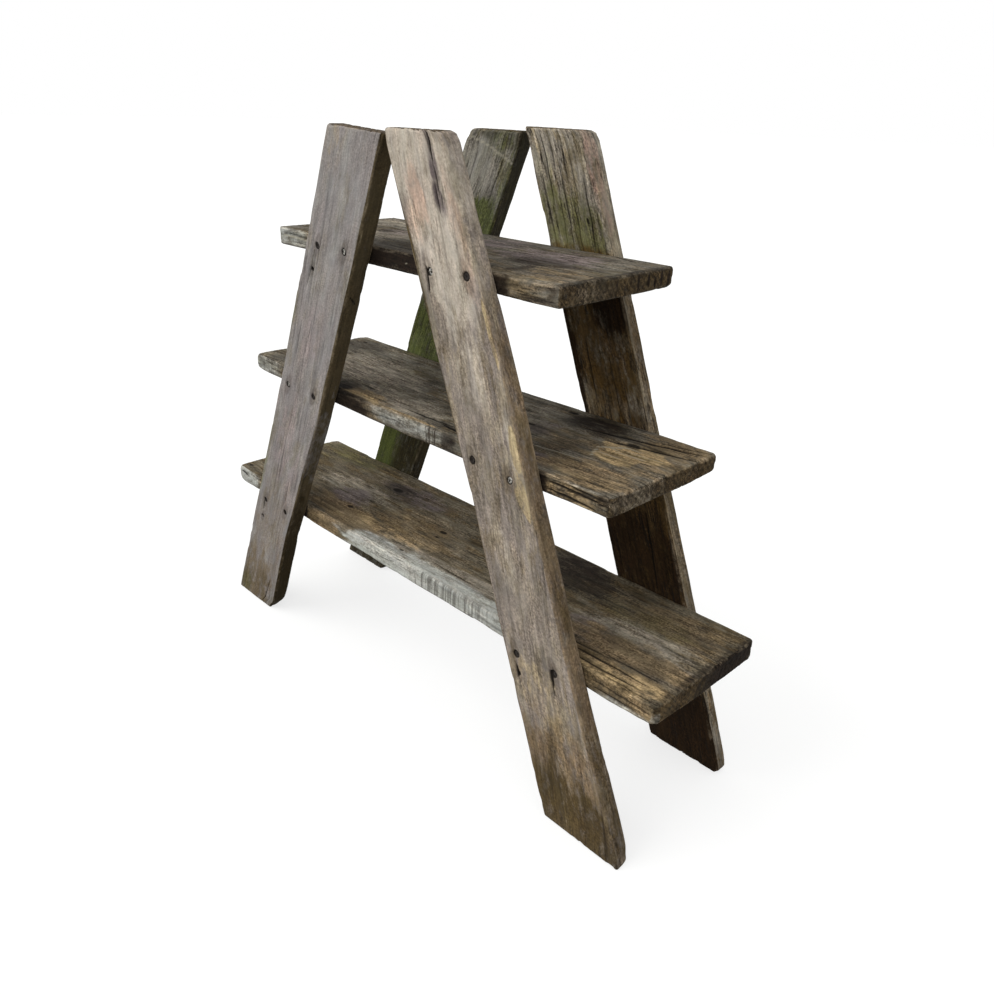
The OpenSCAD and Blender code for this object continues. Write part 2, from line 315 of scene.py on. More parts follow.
def stain(q, way, marks, seed, crisp=False):
    """The strongest of the stains noted for each face. A stain is (along, across, half length, half width,
    strength): full strength in the middle of an ellipse, whose outline is pushed in and out by noise. It
    fades out slowly, or where it is crisp within a fifth of its size."""
    inside, outside = (0.78, 0.98) if crisp else (0.45, 1.3)
    ragged = 0.9 * (rough(q / [45, 14, 14], 4, seed) - 0.5)
    total = np.zeros(len(q))
    for face, spots in marks.items():
        x, y, facing = on_face(q, way, face)
        for a, b, half_a, half_b, strength in spots:
            reach = ragged + np.hypot((x - a) / half_a, (y - b) / half_b)
            total = np.maximum(total, strength * smooth(0, 0.5, facing) * smooth(outside, inside, reach))
    return total


def crack(q, way, marks, seed):
    """The deepest of the cracks noted for each face, from 0 to 1. A crack is (from along, across, to along,
    across, half width, depth): a wandering line whose width tapers to nothing at both ends."""
    total = np.zeros(len(q))
    for face, lines in marks.items():
        x, y, facing = on_face(q, way, face)
        for a0, b0, a1, b1, half_width, depth in lines:
            t = np.clip((x - a0) / (a1 - a0), 0, 1)
            line = np.stack([x / 22, 0 * x + b0, 0 * x + a0], axis=1)
            middle = b0 + (b1 - b0) * t + 3.2 * (rough(line, 3, seed) - 0.5)
            width = half_width * np.sqrt(4 * t * (1 - t)) + 1e-3
            total = np.maximum(total, depth * facing * np.exp(-(((y - middle) / width) ** 2)))
    return total


def knot_flow(q, knots):
    """How far the fibres are pushed aside, as water flows round a pole: a fibre's distance from the knot's
    middle is shortened by R^2 / r^2 of itself outside the knot, with r measured 2.4 times shorter along."""
    shift = np.zeros(len(q))
    for a, b, radius in knots:
        away = q[:, 1] - b
        r2 = ((q[:, 0] - a) / 2.4) ** 2 + away**2
        shift -= away * np.minimum(radius**2 / np.maximum(r2, 1e-6), 1)
    return shift


def knot_rings(q, knots):
    """How much of a knot a point shows, and its height in mm: an almond twice as long as wide, dark inside
    and sunk, with a faint ring and a raised rim one and a half times as large around it."""
    share = np.zeros(len(q))
    height = np.zeros(len(q))
    for a, b, radius in knots:
        r = np.hypot((q[:, 0] - a) / 2.0, q[:, 1] - b) / radius
        ring = np.exp(-(((r - 1.5) / 0.25) ** 2))
        share = np.maximum(share, smooth(1.1, 0.45, r) + 0.3 * ring)
        height += 0.5 * ring - 2.0 * smooth(0.9, 0.3, r)
    return share, height


def sawn(q, way, marks):
    """Where the saw's kerfs still show across an edge: (from along, to along, strength) for each face."""
    total = np.zeros(len(q))
    for face, stretches in marks.items():
        x, _, facing = on_face(q, way, face)
        for start, end, strength in stretches:
            within = smooth(start - 12, start + 12, x) * smooth(end + 12, end - 12, x)
            total = np.maximum(total, strength * within * smooth(0.3, 0.8, facing))
    return total


print("faces:", ", ".join(FACES))

# %% [markdown]
# ## Weathering
#
# Rain and sun eat the soft wood between the fibres first, so an old board is furrowed along its
# grain, its edges are worn round and chipped, and its end grain is pitted. All of this takes wood
# away, so the points only move inwards from the sawn board.

# %% Furrows, chips and end grain
def glide(x, points):
    """A line through (place, value) points, with an easy slope, 3t^2 - 2t^3, from each to the next."""
    places, values = np.array(points, float).T
    i = np.clip(np.searchsorted(places, x) - 1, 0, len(places) - 2)
    t = smooth(places[i], places[i + 1], x)
    return values[i] + (values[i + 1] - values[i]) * t


CHIP = 1.8


def weather(q, way, fibres_at, seed, coarse):
    """How deep the weather has eaten, in mm, and how much of a furrow each point lies in, from 0 to 1."""
    fibre = rough(fibres_at / [70, 3.4, 3.4], 4, seed)
    exposed = smooth(0.40, 0.66, rough(q / [110, 34, 34], 3, seed + 10))
    furrow = smooth(0.50, 0.74, fibre) * (0.25 + 0.75 * exposed)
    wave = rough(q / [260, 90, 90], 2, seed + 20)
    pit = smooth(0.46, 0.74, rough(q / [16, 5.5, 8.0], 4, seed + 40))
    end = smooth(0.5, 0.95, np.abs(way[:, 0]))
    edge = np.clip((np.abs(way).sum(axis=1) - 1) / 0.41, 0, 1)
    chip = edge * smooth(0.56, 0.76, rough(q / [48, 12, 12], 4, seed + 60))
    side = coarse * (0.5 * furrow + 0.25 * fibre) * (1 - 0.6 * edge) + 0.9 * wave
    depth = side * (1 - end) + (0.9 * pit + 0.9 * wave) * end + CHIP * chip
    return depth, np.clip(furrow * (1 - end) + pit * end, 0, 1)


print("a furrow is about half a millimetre deep, and a chip up to", CHIP, "mm")

# %% [markdown]
# ## From numbers to a board
#
# Now the steps above follow one another: lattice, round edges, weather, cracks, knots, screw
# recesses, and the slow bends of a board that has dried unevenly. The mesh also keeps what the
# finish needs to know, point by point, as attributes: where the fibres run, how deep a furrow is,
# and where there is moss, damp or wet wood, bleached, ashen, warm, rosy or straw-coloured wood,
# and wear. The damp and wet attributes also carry painted shade.

# %% Build a board
# The damp and wet stains are dark brown wood, and they also paint shade: on the legs' inner sides, on the rear
# legs below the shelves, on the shelves' undersides and on their front edges beside the legs.
STAINS = ("moss", "damp_and_shade", "bleached", "ashen", "warm", "rosy", "straw", "wet_and_shade")


def skin_mesh(name, points, quads):
    """A mesh from whole arrays. The volume enclosed is the sum of the triangles' corner products over 6,
    and the quads are turned round where it comes out below zero, so that the faces point outwards."""
    a, b, c, d = (points[quads[:, i]] for i in range(4))
    volume = (np.cross(a, b) * c + np.cross(a, c) * d).sum() / 6
    quads = quads if volume > 0 else quads[:, ::-1]
    mesh = bpy.data.meshes.new(name)
    mesh.vertices.add(len(points))
    mesh.vertices.foreach_set("co", points.ravel())
    mesh.loops.add(quads.size)
    mesh.loops.foreach_set("vertex_index", quads.ravel().astype(np.int32))
    mesh.polygons.add(len(quads))
    mesh.polygons.foreach_set("loop_start", np.arange(0, quads.size, 4, dtype=np.int32))
    mesh.update(calc_edges=True)
    mesh.shade_smooth()
    return mesh, abs(volume)


def note(mesh, name, values):
    """Keeps one number, or one vector, for each point of the mesh."""
    kind = "FLOAT" if values.ndim == 1 else "FLOAT_VECTOR"
    key = "value" if values.ndim == 1 else "vector"
    attribute = mesh.attributes.new(name, kind, "POINT")
    attribute.data.foreach_set(key, values.astype(np.float32).ravel())


def worn_radius(q, flaws, seed):
    """Radius of the worn edges in mm: 4.6 on average, varied by noise, and larger where a flaw says so.
    A flaw is (along, across, into, reach along, more radius)."""
    radius = 2.6 + 4.0 * rough(q / [70, 60, 16], 3, seed)
    for a, b, c, reach, more in flaws:
        near = np.exp(-(((q[:, 0] - a) / reach) ** 2) - ((q[:, 1] - b) / 40) ** 2 - ((q[:, 2] - c) / 9) ** 2)
        radius += more * near
    return np.minimum(radius, 12.5)[:, None]


def make_board(name, size, place, marks, heads, seed, step=(3.6, 1.35, 1.9)):
    """One weathered board. size is (u, v, w) in mm, place turns (u, v, w) into metres in the stand, marks
    are its flaws and heads are its screw and nail holes: (u, v, face, radius, depth) of each."""
    size = np.array(size, float)
    places = [[0, s, *(h[i] for h in heads)] for i, s in enumerate(size[:2])]
    us = lattice_lines(size[0], step[0], 0.95, places[0], 5)
    vs = lattice_lines(size[1], step[1], 0.95, places[1], 5)
    ws = lattice_lines(size[2], step[2], 1.1, [0, size[2]], 5)
    box, quads = lattice_skin(us, vs, ws)
    q, way = round_off(box, size, worn_radius(box, marks.get("worn", ()), seed))
    flow = knot_flow(q, marks.get("knots", ()))
    fibres_at = q + np.stack([0 * flow, flow + marks.get("slant", 0) * q[:, 0], 0 * flow], axis=1)
    depth, furrow = weather(q, way, fibres_at, seed, marks.get("coarse", 1.0))
    split = crack(q, way, marks.get("cracks", {}), seed + 5)
    knot, knot_height = knot_rings(q, marks.get("knots", ()))
    flat = smooth(0.8, 1, np.abs(way[:, 2]))
    depth += 3.2 * split - flat * knot_height
    # Painted shade: the recess round each sunk screw head is kept as a mask, and the finish paints it near
    # black.
    shaded_recess = np.zeros(len(q))
    rust = np.zeros(len(q))
    world_xz = place(q)[:, [0, 2]] / MM
    for u, v, face, radius, deep in heads:
        middle = place(np.array([[u, v, 0.0]]))[0, [0, 2]] / MM
        apart = np.linalg.norm(world_xz - middle, axis=1)
        facing = smooth(0.7, 0.95, way[:, 2] * FACES[face][1])
        hole = smooth(radius + 1.1, radius + 0.1, apart) * facing
        depth = depth * (1 - hole) + deep * hole
        shaded_recess = np.maximum(shaded_recess, hole)
        long_way = np.hypot((q[:, 0] - u) / 2.6, q[:, 1] - v)
        rust = np.maximum(rust, facing * smooth(2.4 * radius, 0.8 * radius, long_way))
    q = q - way * np.maximum(depth, 0)[:, None]
    share_u, share_v = q[:, 0] / size[0], q[:, 1] / size[1]
    low = glide(q[:, 0], marks.get("low_edge", [(0, 0), (size[0], 0)]))
    high = glide(q[:, 0], marks.get("high_edge", [(0, 0), (size[0], 0)]))
    start = glide(q[:, 1], marks.get("start_edge", [(0, 0), (size[1], 0)]))
    end = glide(q[:, 1], marks.get("end_edge", [(0, 0), (size[1], 0)]))
    sag = glide(q[:, 0], marks.get("sag", [(0, 0), (size[0], 0)]))
    near_start, near_end = smooth(0.18, 0, share_u), smooth(0.82, 1, share_u)
    q = q + np.stack([start * near_start + end * near_end, low * (1 - share_v) + high * share_v, sag], axis=1)
    mesh, volume = skin_mesh(name, place(q), quads)
    note(mesh, "grain", (fibres_at + 1000 * seed) * MM)
    # The finish darkens the furrow attribute as painted shade in furrows and cracks.
    note(mesh, "furrow", np.clip(0.8 * furrow * (1 - shaded_recess) + split, 0, 1))
    # The split attribute holds the cracks and the screw recesses, which the finish paints near black: dark
    # gaps, partly painted shade in their depth.
    note(mesh, "split", np.clip(split + shaded_recess, 0, 1))
    note(mesh, "knot", knot * flat)
    note(mesh, "scratch", crack(q, way, marks.get("scratches", {}), seed + 8))
    note(mesh, "sawn", sawn(box, way, marks.get("saw_marks", {})))
    note(mesh, "rust", rust)
    note(mesh, "end_grain", smooth(0.55, 0.9, np.abs(way[:, 0])))
    note(mesh, "wear", np.clip((np.abs(way).sum(axis=1) - 1) / 0.35, 0, 1))
    for i, name_of_stain in enumerate(STAINS):
        spots = stain(box, way, marks.get(name_of_stain, {}), seed + 100 + 7 * i, name_of_stain == "straw")
        note(mesh, name_of_stain, spots)
    board = bpy.data.objects.new(name, mesh)
    bpy.context.scene.collection.objects.link(board)
    print(name, "has", 2 * len(quads), "triangles and", round(volume * 1e6), "cm3 of wood")
    return board


# %% [markdown]
# ## The finish: weathered softwood
#
# Sawn softwood that has stood outdoors for years loses its colour at the surface: the sun bleaches
# it to silver grey, the rain washes brown out of its heart, and algae settle where it stays wet.
# It is dry and matt, so its roughness is about 0.9, and its open fibres hardly mirror any light. The
# fibres are drawn 2.6 mm wide and 50 mm long, which is coarser than real ones, so that the picture
# shows them. Where the board was sawn, the saw's kerfs and the growth rings still show.
#
# One noise in one size would look like printed laminate. Real wood is uneven in every size at once,
# so five sheets of noise are multiplied: blotches as wide as a hand, patches, streaks, fibres and
# grit. A noise node's colour holds three more, unlike one another, and those mix the wood's hues.

# %% Weathered wood
def per_mm(*sizes):
    """How often a pattern repeats in a metre, for sizes in millimetres."""
    return [1000 / s for s in sizes]


# Size along and across the grain in mm, layers, how rough, how far from 0.5 it is cut off, and depth.
SHEETS = {
    "blotch": ((120, 46, 46), 5, 0.62, 0.20, 0.28),
    "patch": ((30, 13, 13), 6, 0.72, 0.16, 0.26),
    "streak": ((150, 6, 6), 4, 0.62, 0.16, 0.20),
    "fibre": ((50, 2.6, 2.6), 3, 0.60, 0.15, 0.22),
    "grit": ((3.6, 3.0, 3.0), 2, 0.62, 0.11, 0.29),
}


# The growth rings' distance, and the distance of two rings in the wave node's own units.
RING_GAP = 7 * MM
WAVE_UNIT = 0.314


def weathered_wood(name, cool, brown, pale, contrast=1.0, warmth=0.5, checks=0.5, stains=None):
    """Wood of three hues, uneven along the attribute "grain", with the stains in the other attributes."""
    material, tree, output = new_material(name)
    grain = add(tree, "ShaderNodeAttribute", attribute_name="grain").outputs["Vector"]
    sway_at = add(tree, "ShaderNodeMapping", {"Vector": grain, "Scale": per_mm(160, 50, 50)})
    sway = add(tree, "ShaderNodeTexNoise", {"Vector": sway_at, "Scale": 1, "Detail": 1})
    centred = {0: sway.outputs["Color"], 1: (0.5, 0.5, 0.5)}
    centred = add(tree, "ShaderNodeVectorMath", centred, operation="SUBTRACT")
    push = add(tree, "ShaderNodeVectorMath", {0: centred, 1: (0, 0.010, 0.010)}, operation="MULTIPLY")
    at = add(tree, "ShaderNodeVectorMath", {0: grain, 1: push}, operation="ADD")
    hue_at = add(tree, "ShaderNodeMapping", {"Vector": at, "Scale": per_mm(70, 22, 22)})
    hues = add(tree, "ShaderNodeTexNoise", {"Vector": hue_at, "Scale": 1, "Detail": 6, "Roughness": 0.68})
    hues = add(tree, "ShaderNodeSeparateXYZ", {0: hues.outputs["Color"]})
    raised = {"Value": hues.outputs["Z"], "From Min": 0.38, "From Max": 0.62, "To Min": 0.35, "To Max": 1.3}
    raised = add(tree, "ShaderNodeMapRange", raised)
    levels = {}
    light = None
    for key, (size, detail, roughness, spread, depth) in SHEETS.items():
        mapped = add(tree, "ShaderNodeMapping", {"Vector": at, "Scale": per_mm(*size)})
        inputs = {"Vector": mapped, "Scale": 1, "Detail": detail, "Roughness": roughness}
        levels[key] = add(tree, "ShaderNodeTexNoise", inputs).outputs["Fac"]
        level = {"Value": levels[key], "From Min": 0.5 - spread, "From Max": 0.5 + spread}
        level |= {"To Min": -depth * contrast, "To Max": depth * contrast}
        level = add(tree, "ShaderNodeMapRange", level)
        much = raised if key in ("fibre", "grit") else 1.0
        level = add(tree, "ShaderNodeMath", {0: level, 1: much, 2: 1.0}, operation="MULTIPLY_ADD")
        if light is not None:
            level = add(tree, "ShaderNodeMath", {0: light, 1: level}, operation="MULTIPLY")
        light = level
    # Bleached wood is worn smooth, so its noise is calmer.
    bleached = add(tree, "ShaderNodeAttribute", attribute_name="bleached").outputs["Fac"]
    calm = add(tree, "ShaderNodeMapRange", {"Value": bleached, "To Max": 0.5})
    light = add(tree, "ShaderNodeMix", {"Factor": calm, "A": light, "B": 1.0}, data_type="FLOAT")
    tint_range = {"Value": hues.outputs["X"], "From Min": 0.62 - 0.3 * warmth, "From Max": 0.74 - 0.3 * warmth}
    tint = add(tree, "ShaderNodeMapRange", tint_range, interpolation_type="SMOOTHSTEP")
    inputs = {"Factor": tint, "A": linear(cool), "B": linear(brown)}
    colour = add(tree, "ShaderNodeMix", inputs, data_type="RGBA")
    tint_range = {"Value": hues.outputs["Y"], "From Min": 0.48, "From Max": 0.66, "To Max": 0.7}
    tint = add(tree, "ShaderNodeMapRange", tint_range, interpolation_type="SMOOTHSTEP")
    colour = add(tree, "ShaderNodeMix", {"Factor": tint, "A": colour, "B": linear(pale)}, data_type="RGBA")
    # A stain is thinned and thickened by noise first and then cut off, which frays its outline.
    frayed = {"Value": levels["patch"], "From Min": 0.34, "From Max": 0.66, "To Min": 0.45, "To Max": 1.6}
    frayed = add(tree, "ShaderNodeMapRange", frayed)
    for key, (code, most) in {"end_grain": ("#4b3c26", 0.88), **(stains or {})}.items():
        amount = add(tree, "ShaderNodeAttribute", attribute_name=key).outputs["Fac"]
        amount = add(tree, "ShaderNodeMath", {0: amount, 1: frayed}, operation="MULTIPLY")
        fade = {"Value": amount, "From Min": 0.12, "From Max": 1.0, "To Max": most}
        fade = add(tree, "ShaderNodeMapRange", fade, interpolation_type="SMOOTHSTEP")
        inputs = {"Factor": fade, "A": colour, "B": linear(code)}
        colour = add(tree, "ShaderNodeMix", inputs, data_type="RGBA")
    # Growth rings show on the sawn ends only, as arcs round a pith outside the board.
    pith = add(tree, "ShaderNodeMapping", {"Vector": at, "Location": (0, -110 * MM, 50 * MM)})
    inputs = {"Vector": pith, "Scale": WAVE_UNIT / RING_GAP, "Distortion": 7.0, "Detail": 3.0}
    inputs |= {"Detail Scale": 0.5}
    rings = add(tree, "ShaderNodeTexWave", inputs, wave_type="RINGS", rings_direction="X").outputs["Fac"]
    sawn_end = add(tree, "ShaderNodeAttribute", attribute_name="end_grain").outputs["Fac"]
    rings = add(tree, "ShaderNodeMath", {0: rings, 1: sawn_end}, operation="MULTIPLY")
    ringed = add(tree, "ShaderNodeMapRange", {"Value": rings, "From Min": 0.3, "From Max": 1.0, "To Max": 0.4})
    wear = add(tree, "ShaderNodeAttribute", attribute_name="wear").outputs["Fac"]
    rubbed = {"Value": levels["patch"], "From Min": 0.46, "From Max": 0.62, "To Max": 0.3}
    rubbed = add(tree, "ShaderNodeMapRange", rubbed)
    worn = add(tree, "ShaderNodeMath", {0: wear, 1: rubbed}, operation="MULTIPLY")
    for factor, code in ((ringed, "#221a10"), (worn, "#9c8d76")):
        inputs = {"Factor": factor, "A": colour, "B": linear(code)}
        colour = add(tree, "ShaderNodeMix", inputs, data_type="RGBA")
    # Painted shade: furrows and cracks are darkened, down to 0.55 of the light, as their shade would darken
    # them.
    furrow = add(tree, "ShaderNodeAttribute", attribute_name="furrow").outputs["Fac"]
    painted_furrow_shade = add(tree, "ShaderNodeMapRange", {"Value": furrow, "To Min": 1.04, "To Max": 0.55})
    light = add(tree, "ShaderNodeMath", {0: light, 1: painted_furrow_shade}, operation="MULTIPLY")
    # Red is raised where blue is lowered, by up to 4 percent, and green wanders by half as much, so that
    # no stain is all one hue.
    wander = {"Value": hues.outputs["Z"], "From Min": 0.3, "From Max": 0.7, "To Min": -0.04, "To Max": 0.04}
    wander = add(tree, "ShaderNodeMapRange", wander)
    shift = add(tree, "ShaderNodeMath", {0: light, 1: wander}, operation="MULTIPLY")
    red = add(tree, "ShaderNodeMath", {0: light, 1: shift}, operation="ADD")
    blue = add(tree, "ShaderNodeMath", {0: light, 1: shift}, operation="SUBTRACT")
    greener = {"Value": hues.outputs["X"], "From Min": 0.3, "From Max": 0.7, "To Min": 0.98, "To Max": 1.02}
    greener = add(tree, "ShaderNodeMapRange", greener)
    green = add(tree, "ShaderNodeMath", {0: light, 1: greener}, operation="MULTIPLY")
    tinted = add(tree, "ShaderNodeCombineXYZ", {0: red, 1: green, 2: blue})
    inputs = {"Factor": 1.0, "A": colour, "B": tinted}
    colour = add(tree, "ShaderNodeMix", inputs, data_type="RGBA", blend_type="MULTIPLY")
    # Drying checks show where a long noise crosses its middle value: thin lines along the grain.
    check = 0.0
    for along, across, place, narrow in ((190, 11, 7, 0.020), (90, 6, 23, 0.032)):
        line_at = {"Vector": at, "Scale": per_mm(along, across, across), "Location": (place, 3, 5)}
        line_at = add(tree, "ShaderNodeMapping", line_at)
        line = {"Vector": line_at, "Scale": 1, "Detail": 2, "Roughness": 0.5}
        line = add(tree, "ShaderNodeTexNoise", line).outputs["Fac"]
        line = add(tree, "ShaderNodeMath", {0: line, 1: 0.5}, operation="SUBTRACT")
        line = add(tree, "ShaderNodeMath", {0: line}, operation="ABSOLUTE")
        line = {"Value": line, "From Min": 0.2 * narrow, "From Max": narrow, "To Min": 1, "To Max": 0}
        line = add(tree, "ShaderNodeMapRange", line)
        check = add(tree, "ShaderNodeMath", {0: line, 1: check}, operation="MAXIMUM")
    # A board with many checks also has them in more places.
    here = {"Value": levels["blotch"], "From Min": 0.5 - 0.14 * checks, "From Max": 0.62 - 0.1 * checks}
    here = add(tree, "ShaderNodeMapRange", here | {"To Max": checks})
    gaps = {"Value": hues.outputs["Z"], "From Min": 0.52 - 0.09 * checks, "From Max": 0.6 - 0.09 * checks}
    gaps = add(tree, "ShaderNodeMapRange", gaps)
    check = add(tree, "ShaderNodeMath", {0: check, 1: here}, operation="MULTIPLY")
    check = add(tree, "ShaderNodeMath", {0: check, 1: gaps}, operation="MULTIPLY")
    # Kerfs run across the board: the noise is 5 mm long along the grain and 90 mm across it.
    kerf_at = add(tree, "ShaderNodeMapping", {"Vector": grain, "Scale": per_mm(5, 90, 90)})
    kerf = add(tree, "ShaderNodeTexNoise", {"Vector": kerf_at, "Scale": 1, "Detail": 2}).outputs["Fac"]
    kerf = add(tree, "ShaderNodeMapRange", {"Value": kerf, "From Min": 0.45, "From Max": 0.60, "To Max": 0.95})
    still = add(tree, "ShaderNodeAttribute", attribute_name="sawn").outputs["Fac"]
    kerf = add(tree, "ShaderNodeMath", {0: kerf, 1: still}, operation="MULTIPLY")
    for factor, code in ((check, "#1b1611"), (kerf, "#38312a")):
        inputs = {"Factor": factor, "A": colour, "B": linear(code)}
        colour = add(tree, "ShaderNodeMix", inputs, data_type="RGBA")
    for key, code, most in (
        ("scratch", "#a09a88", 0.6),
        ("knot", "#15110c", 0.92),
        ("rust", "#3a2c20", 0.35),
        # Cracks and screw recesses are painted near black: partly dark gaps, partly painted shade.
        ("split", "#120e0a", 0.94),
    ):
        amount = add(tree, "ShaderNodeAttribute", attribute_name=key).outputs["Fac"]
        fade = {"Value": amount, "From Min": 0.08, "From Max": 0.7, "To Max": most}
        fade = add(tree, "ShaderNodeMapRange", fade, interpolation_type="SMOOTHSTEP")
        inputs = {"Factor": fade, "A": colour, "B": linear(code)}
        colour = add(tree, "ShaderNodeMix", inputs, data_type="RGBA")
    relief = add(tree, "ShaderNodeMath", {0: levels["fibre"], 1: levels["grit"]}, operation="ADD")
    for cut in (check, kerf, ringed):
        relief = add(tree, "ShaderNodeMath", {0: relief, 1: cut}, operation="SUBTRACT")
    bump = add(tree, "ShaderNodeBump", {"Height": relief, "Strength": 0.6, "Distance": 1.2 * MM})
    gloss = {"Value": levels["fibre"], "From Min": 0.3, "From Max": 0.7, "To Min": 0.96, "To Max": 0.84}
    dry = add(tree, "ShaderNodeMapRange", gloss)
    surface = {"Base Color": colour, "Roughness": dry, "Normal": bump, "Specular IOR Level": 0.12}
    wood = add(tree, "ShaderNodeBsdfPrincipled", surface)
    tree.links.new(wood.outputs[0], output.inputs["Surface"])
    return material


# %% [markdown]
# ## Legs
#
# The four legs are planks, sawn level at the top and at the foot. Their outlines are read from the
# frame: the convex hull of a leg seen from the front has four long sides, and those meet in the
# leg's four sharp corners. The board is then laid into that quadrilateral by blending the corners.

# %% Read the legs and the screws from the frame
def points_of(node):
    """All points of a CAD node, as an array."""
    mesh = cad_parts[node].data
    points = np.empty(3 * len(mesh.vertices), np.float32)
    mesh.vertices.foreach_get("co", points)
    return points.reshape(-1, 3).astype(float)


def leg_corners(node):
    """Corners (x, z) where the four longest sides of the outline meet: top left, top right, foot left and
    foot right, as seen from the front."""
    flat = np.unique(points_of(node)[:, [0, 2]].round(5), axis=0)
    hull = flat[geometry.convex_hull_2d([Vector(p) for p in flat])]
    ways = np.roll(hull, -1, axis=0) - hull
    ways /= np.linalg.norm(ways, axis=1, keepdims=True)
    before = np.roll(ways, 1, axis=0)
    hull = hull[np.abs(before[:, 0] * ways[:, 1] - before[:, 1] * ways[:, 0]) > 0.02]
    sides = np.roll(hull, -1, axis=0) - hull
    keep = np.sort(np.argsort(-np.linalg.norm(sides, axis=1))[:4])
    found = []
    for i, j in zip(keep, np.roll(keep, -1)):
        steps = np.linalg.solve(np.stack([sides[i], -sides[j]], axis=1), hull[j] - hull[i])
        found.append(hull[i] + steps[0] * sides[i])
    found = sorted(found, key=lambda p: -p[1])
    return [np.array(p) for pair in (found[:2], found[2:]) for p in sorted(pair, key=lambda p: p[0])]


def screw_heads(node):
    """Middles (x, z) of the two screws of a node: its points split at their mean x."""
    x, _, z = points_of(node).T
    left = x < x.mean()
    return [((x[s].min() + x[s].max()) / 2, (z[s].min() + z[s].max()) / 2) for s in (left, ~left)]


LEGS = ("front_left", "front_right", "rear_left", "rear_right")
SHELVES = ("top_shelf", "middle_shelf", "bottom_shelf")
for leg in LEGS:
    print(leg, [[round(float(x) / MM) for x in corner] for corner in leg_corners(leg + "_leg")])
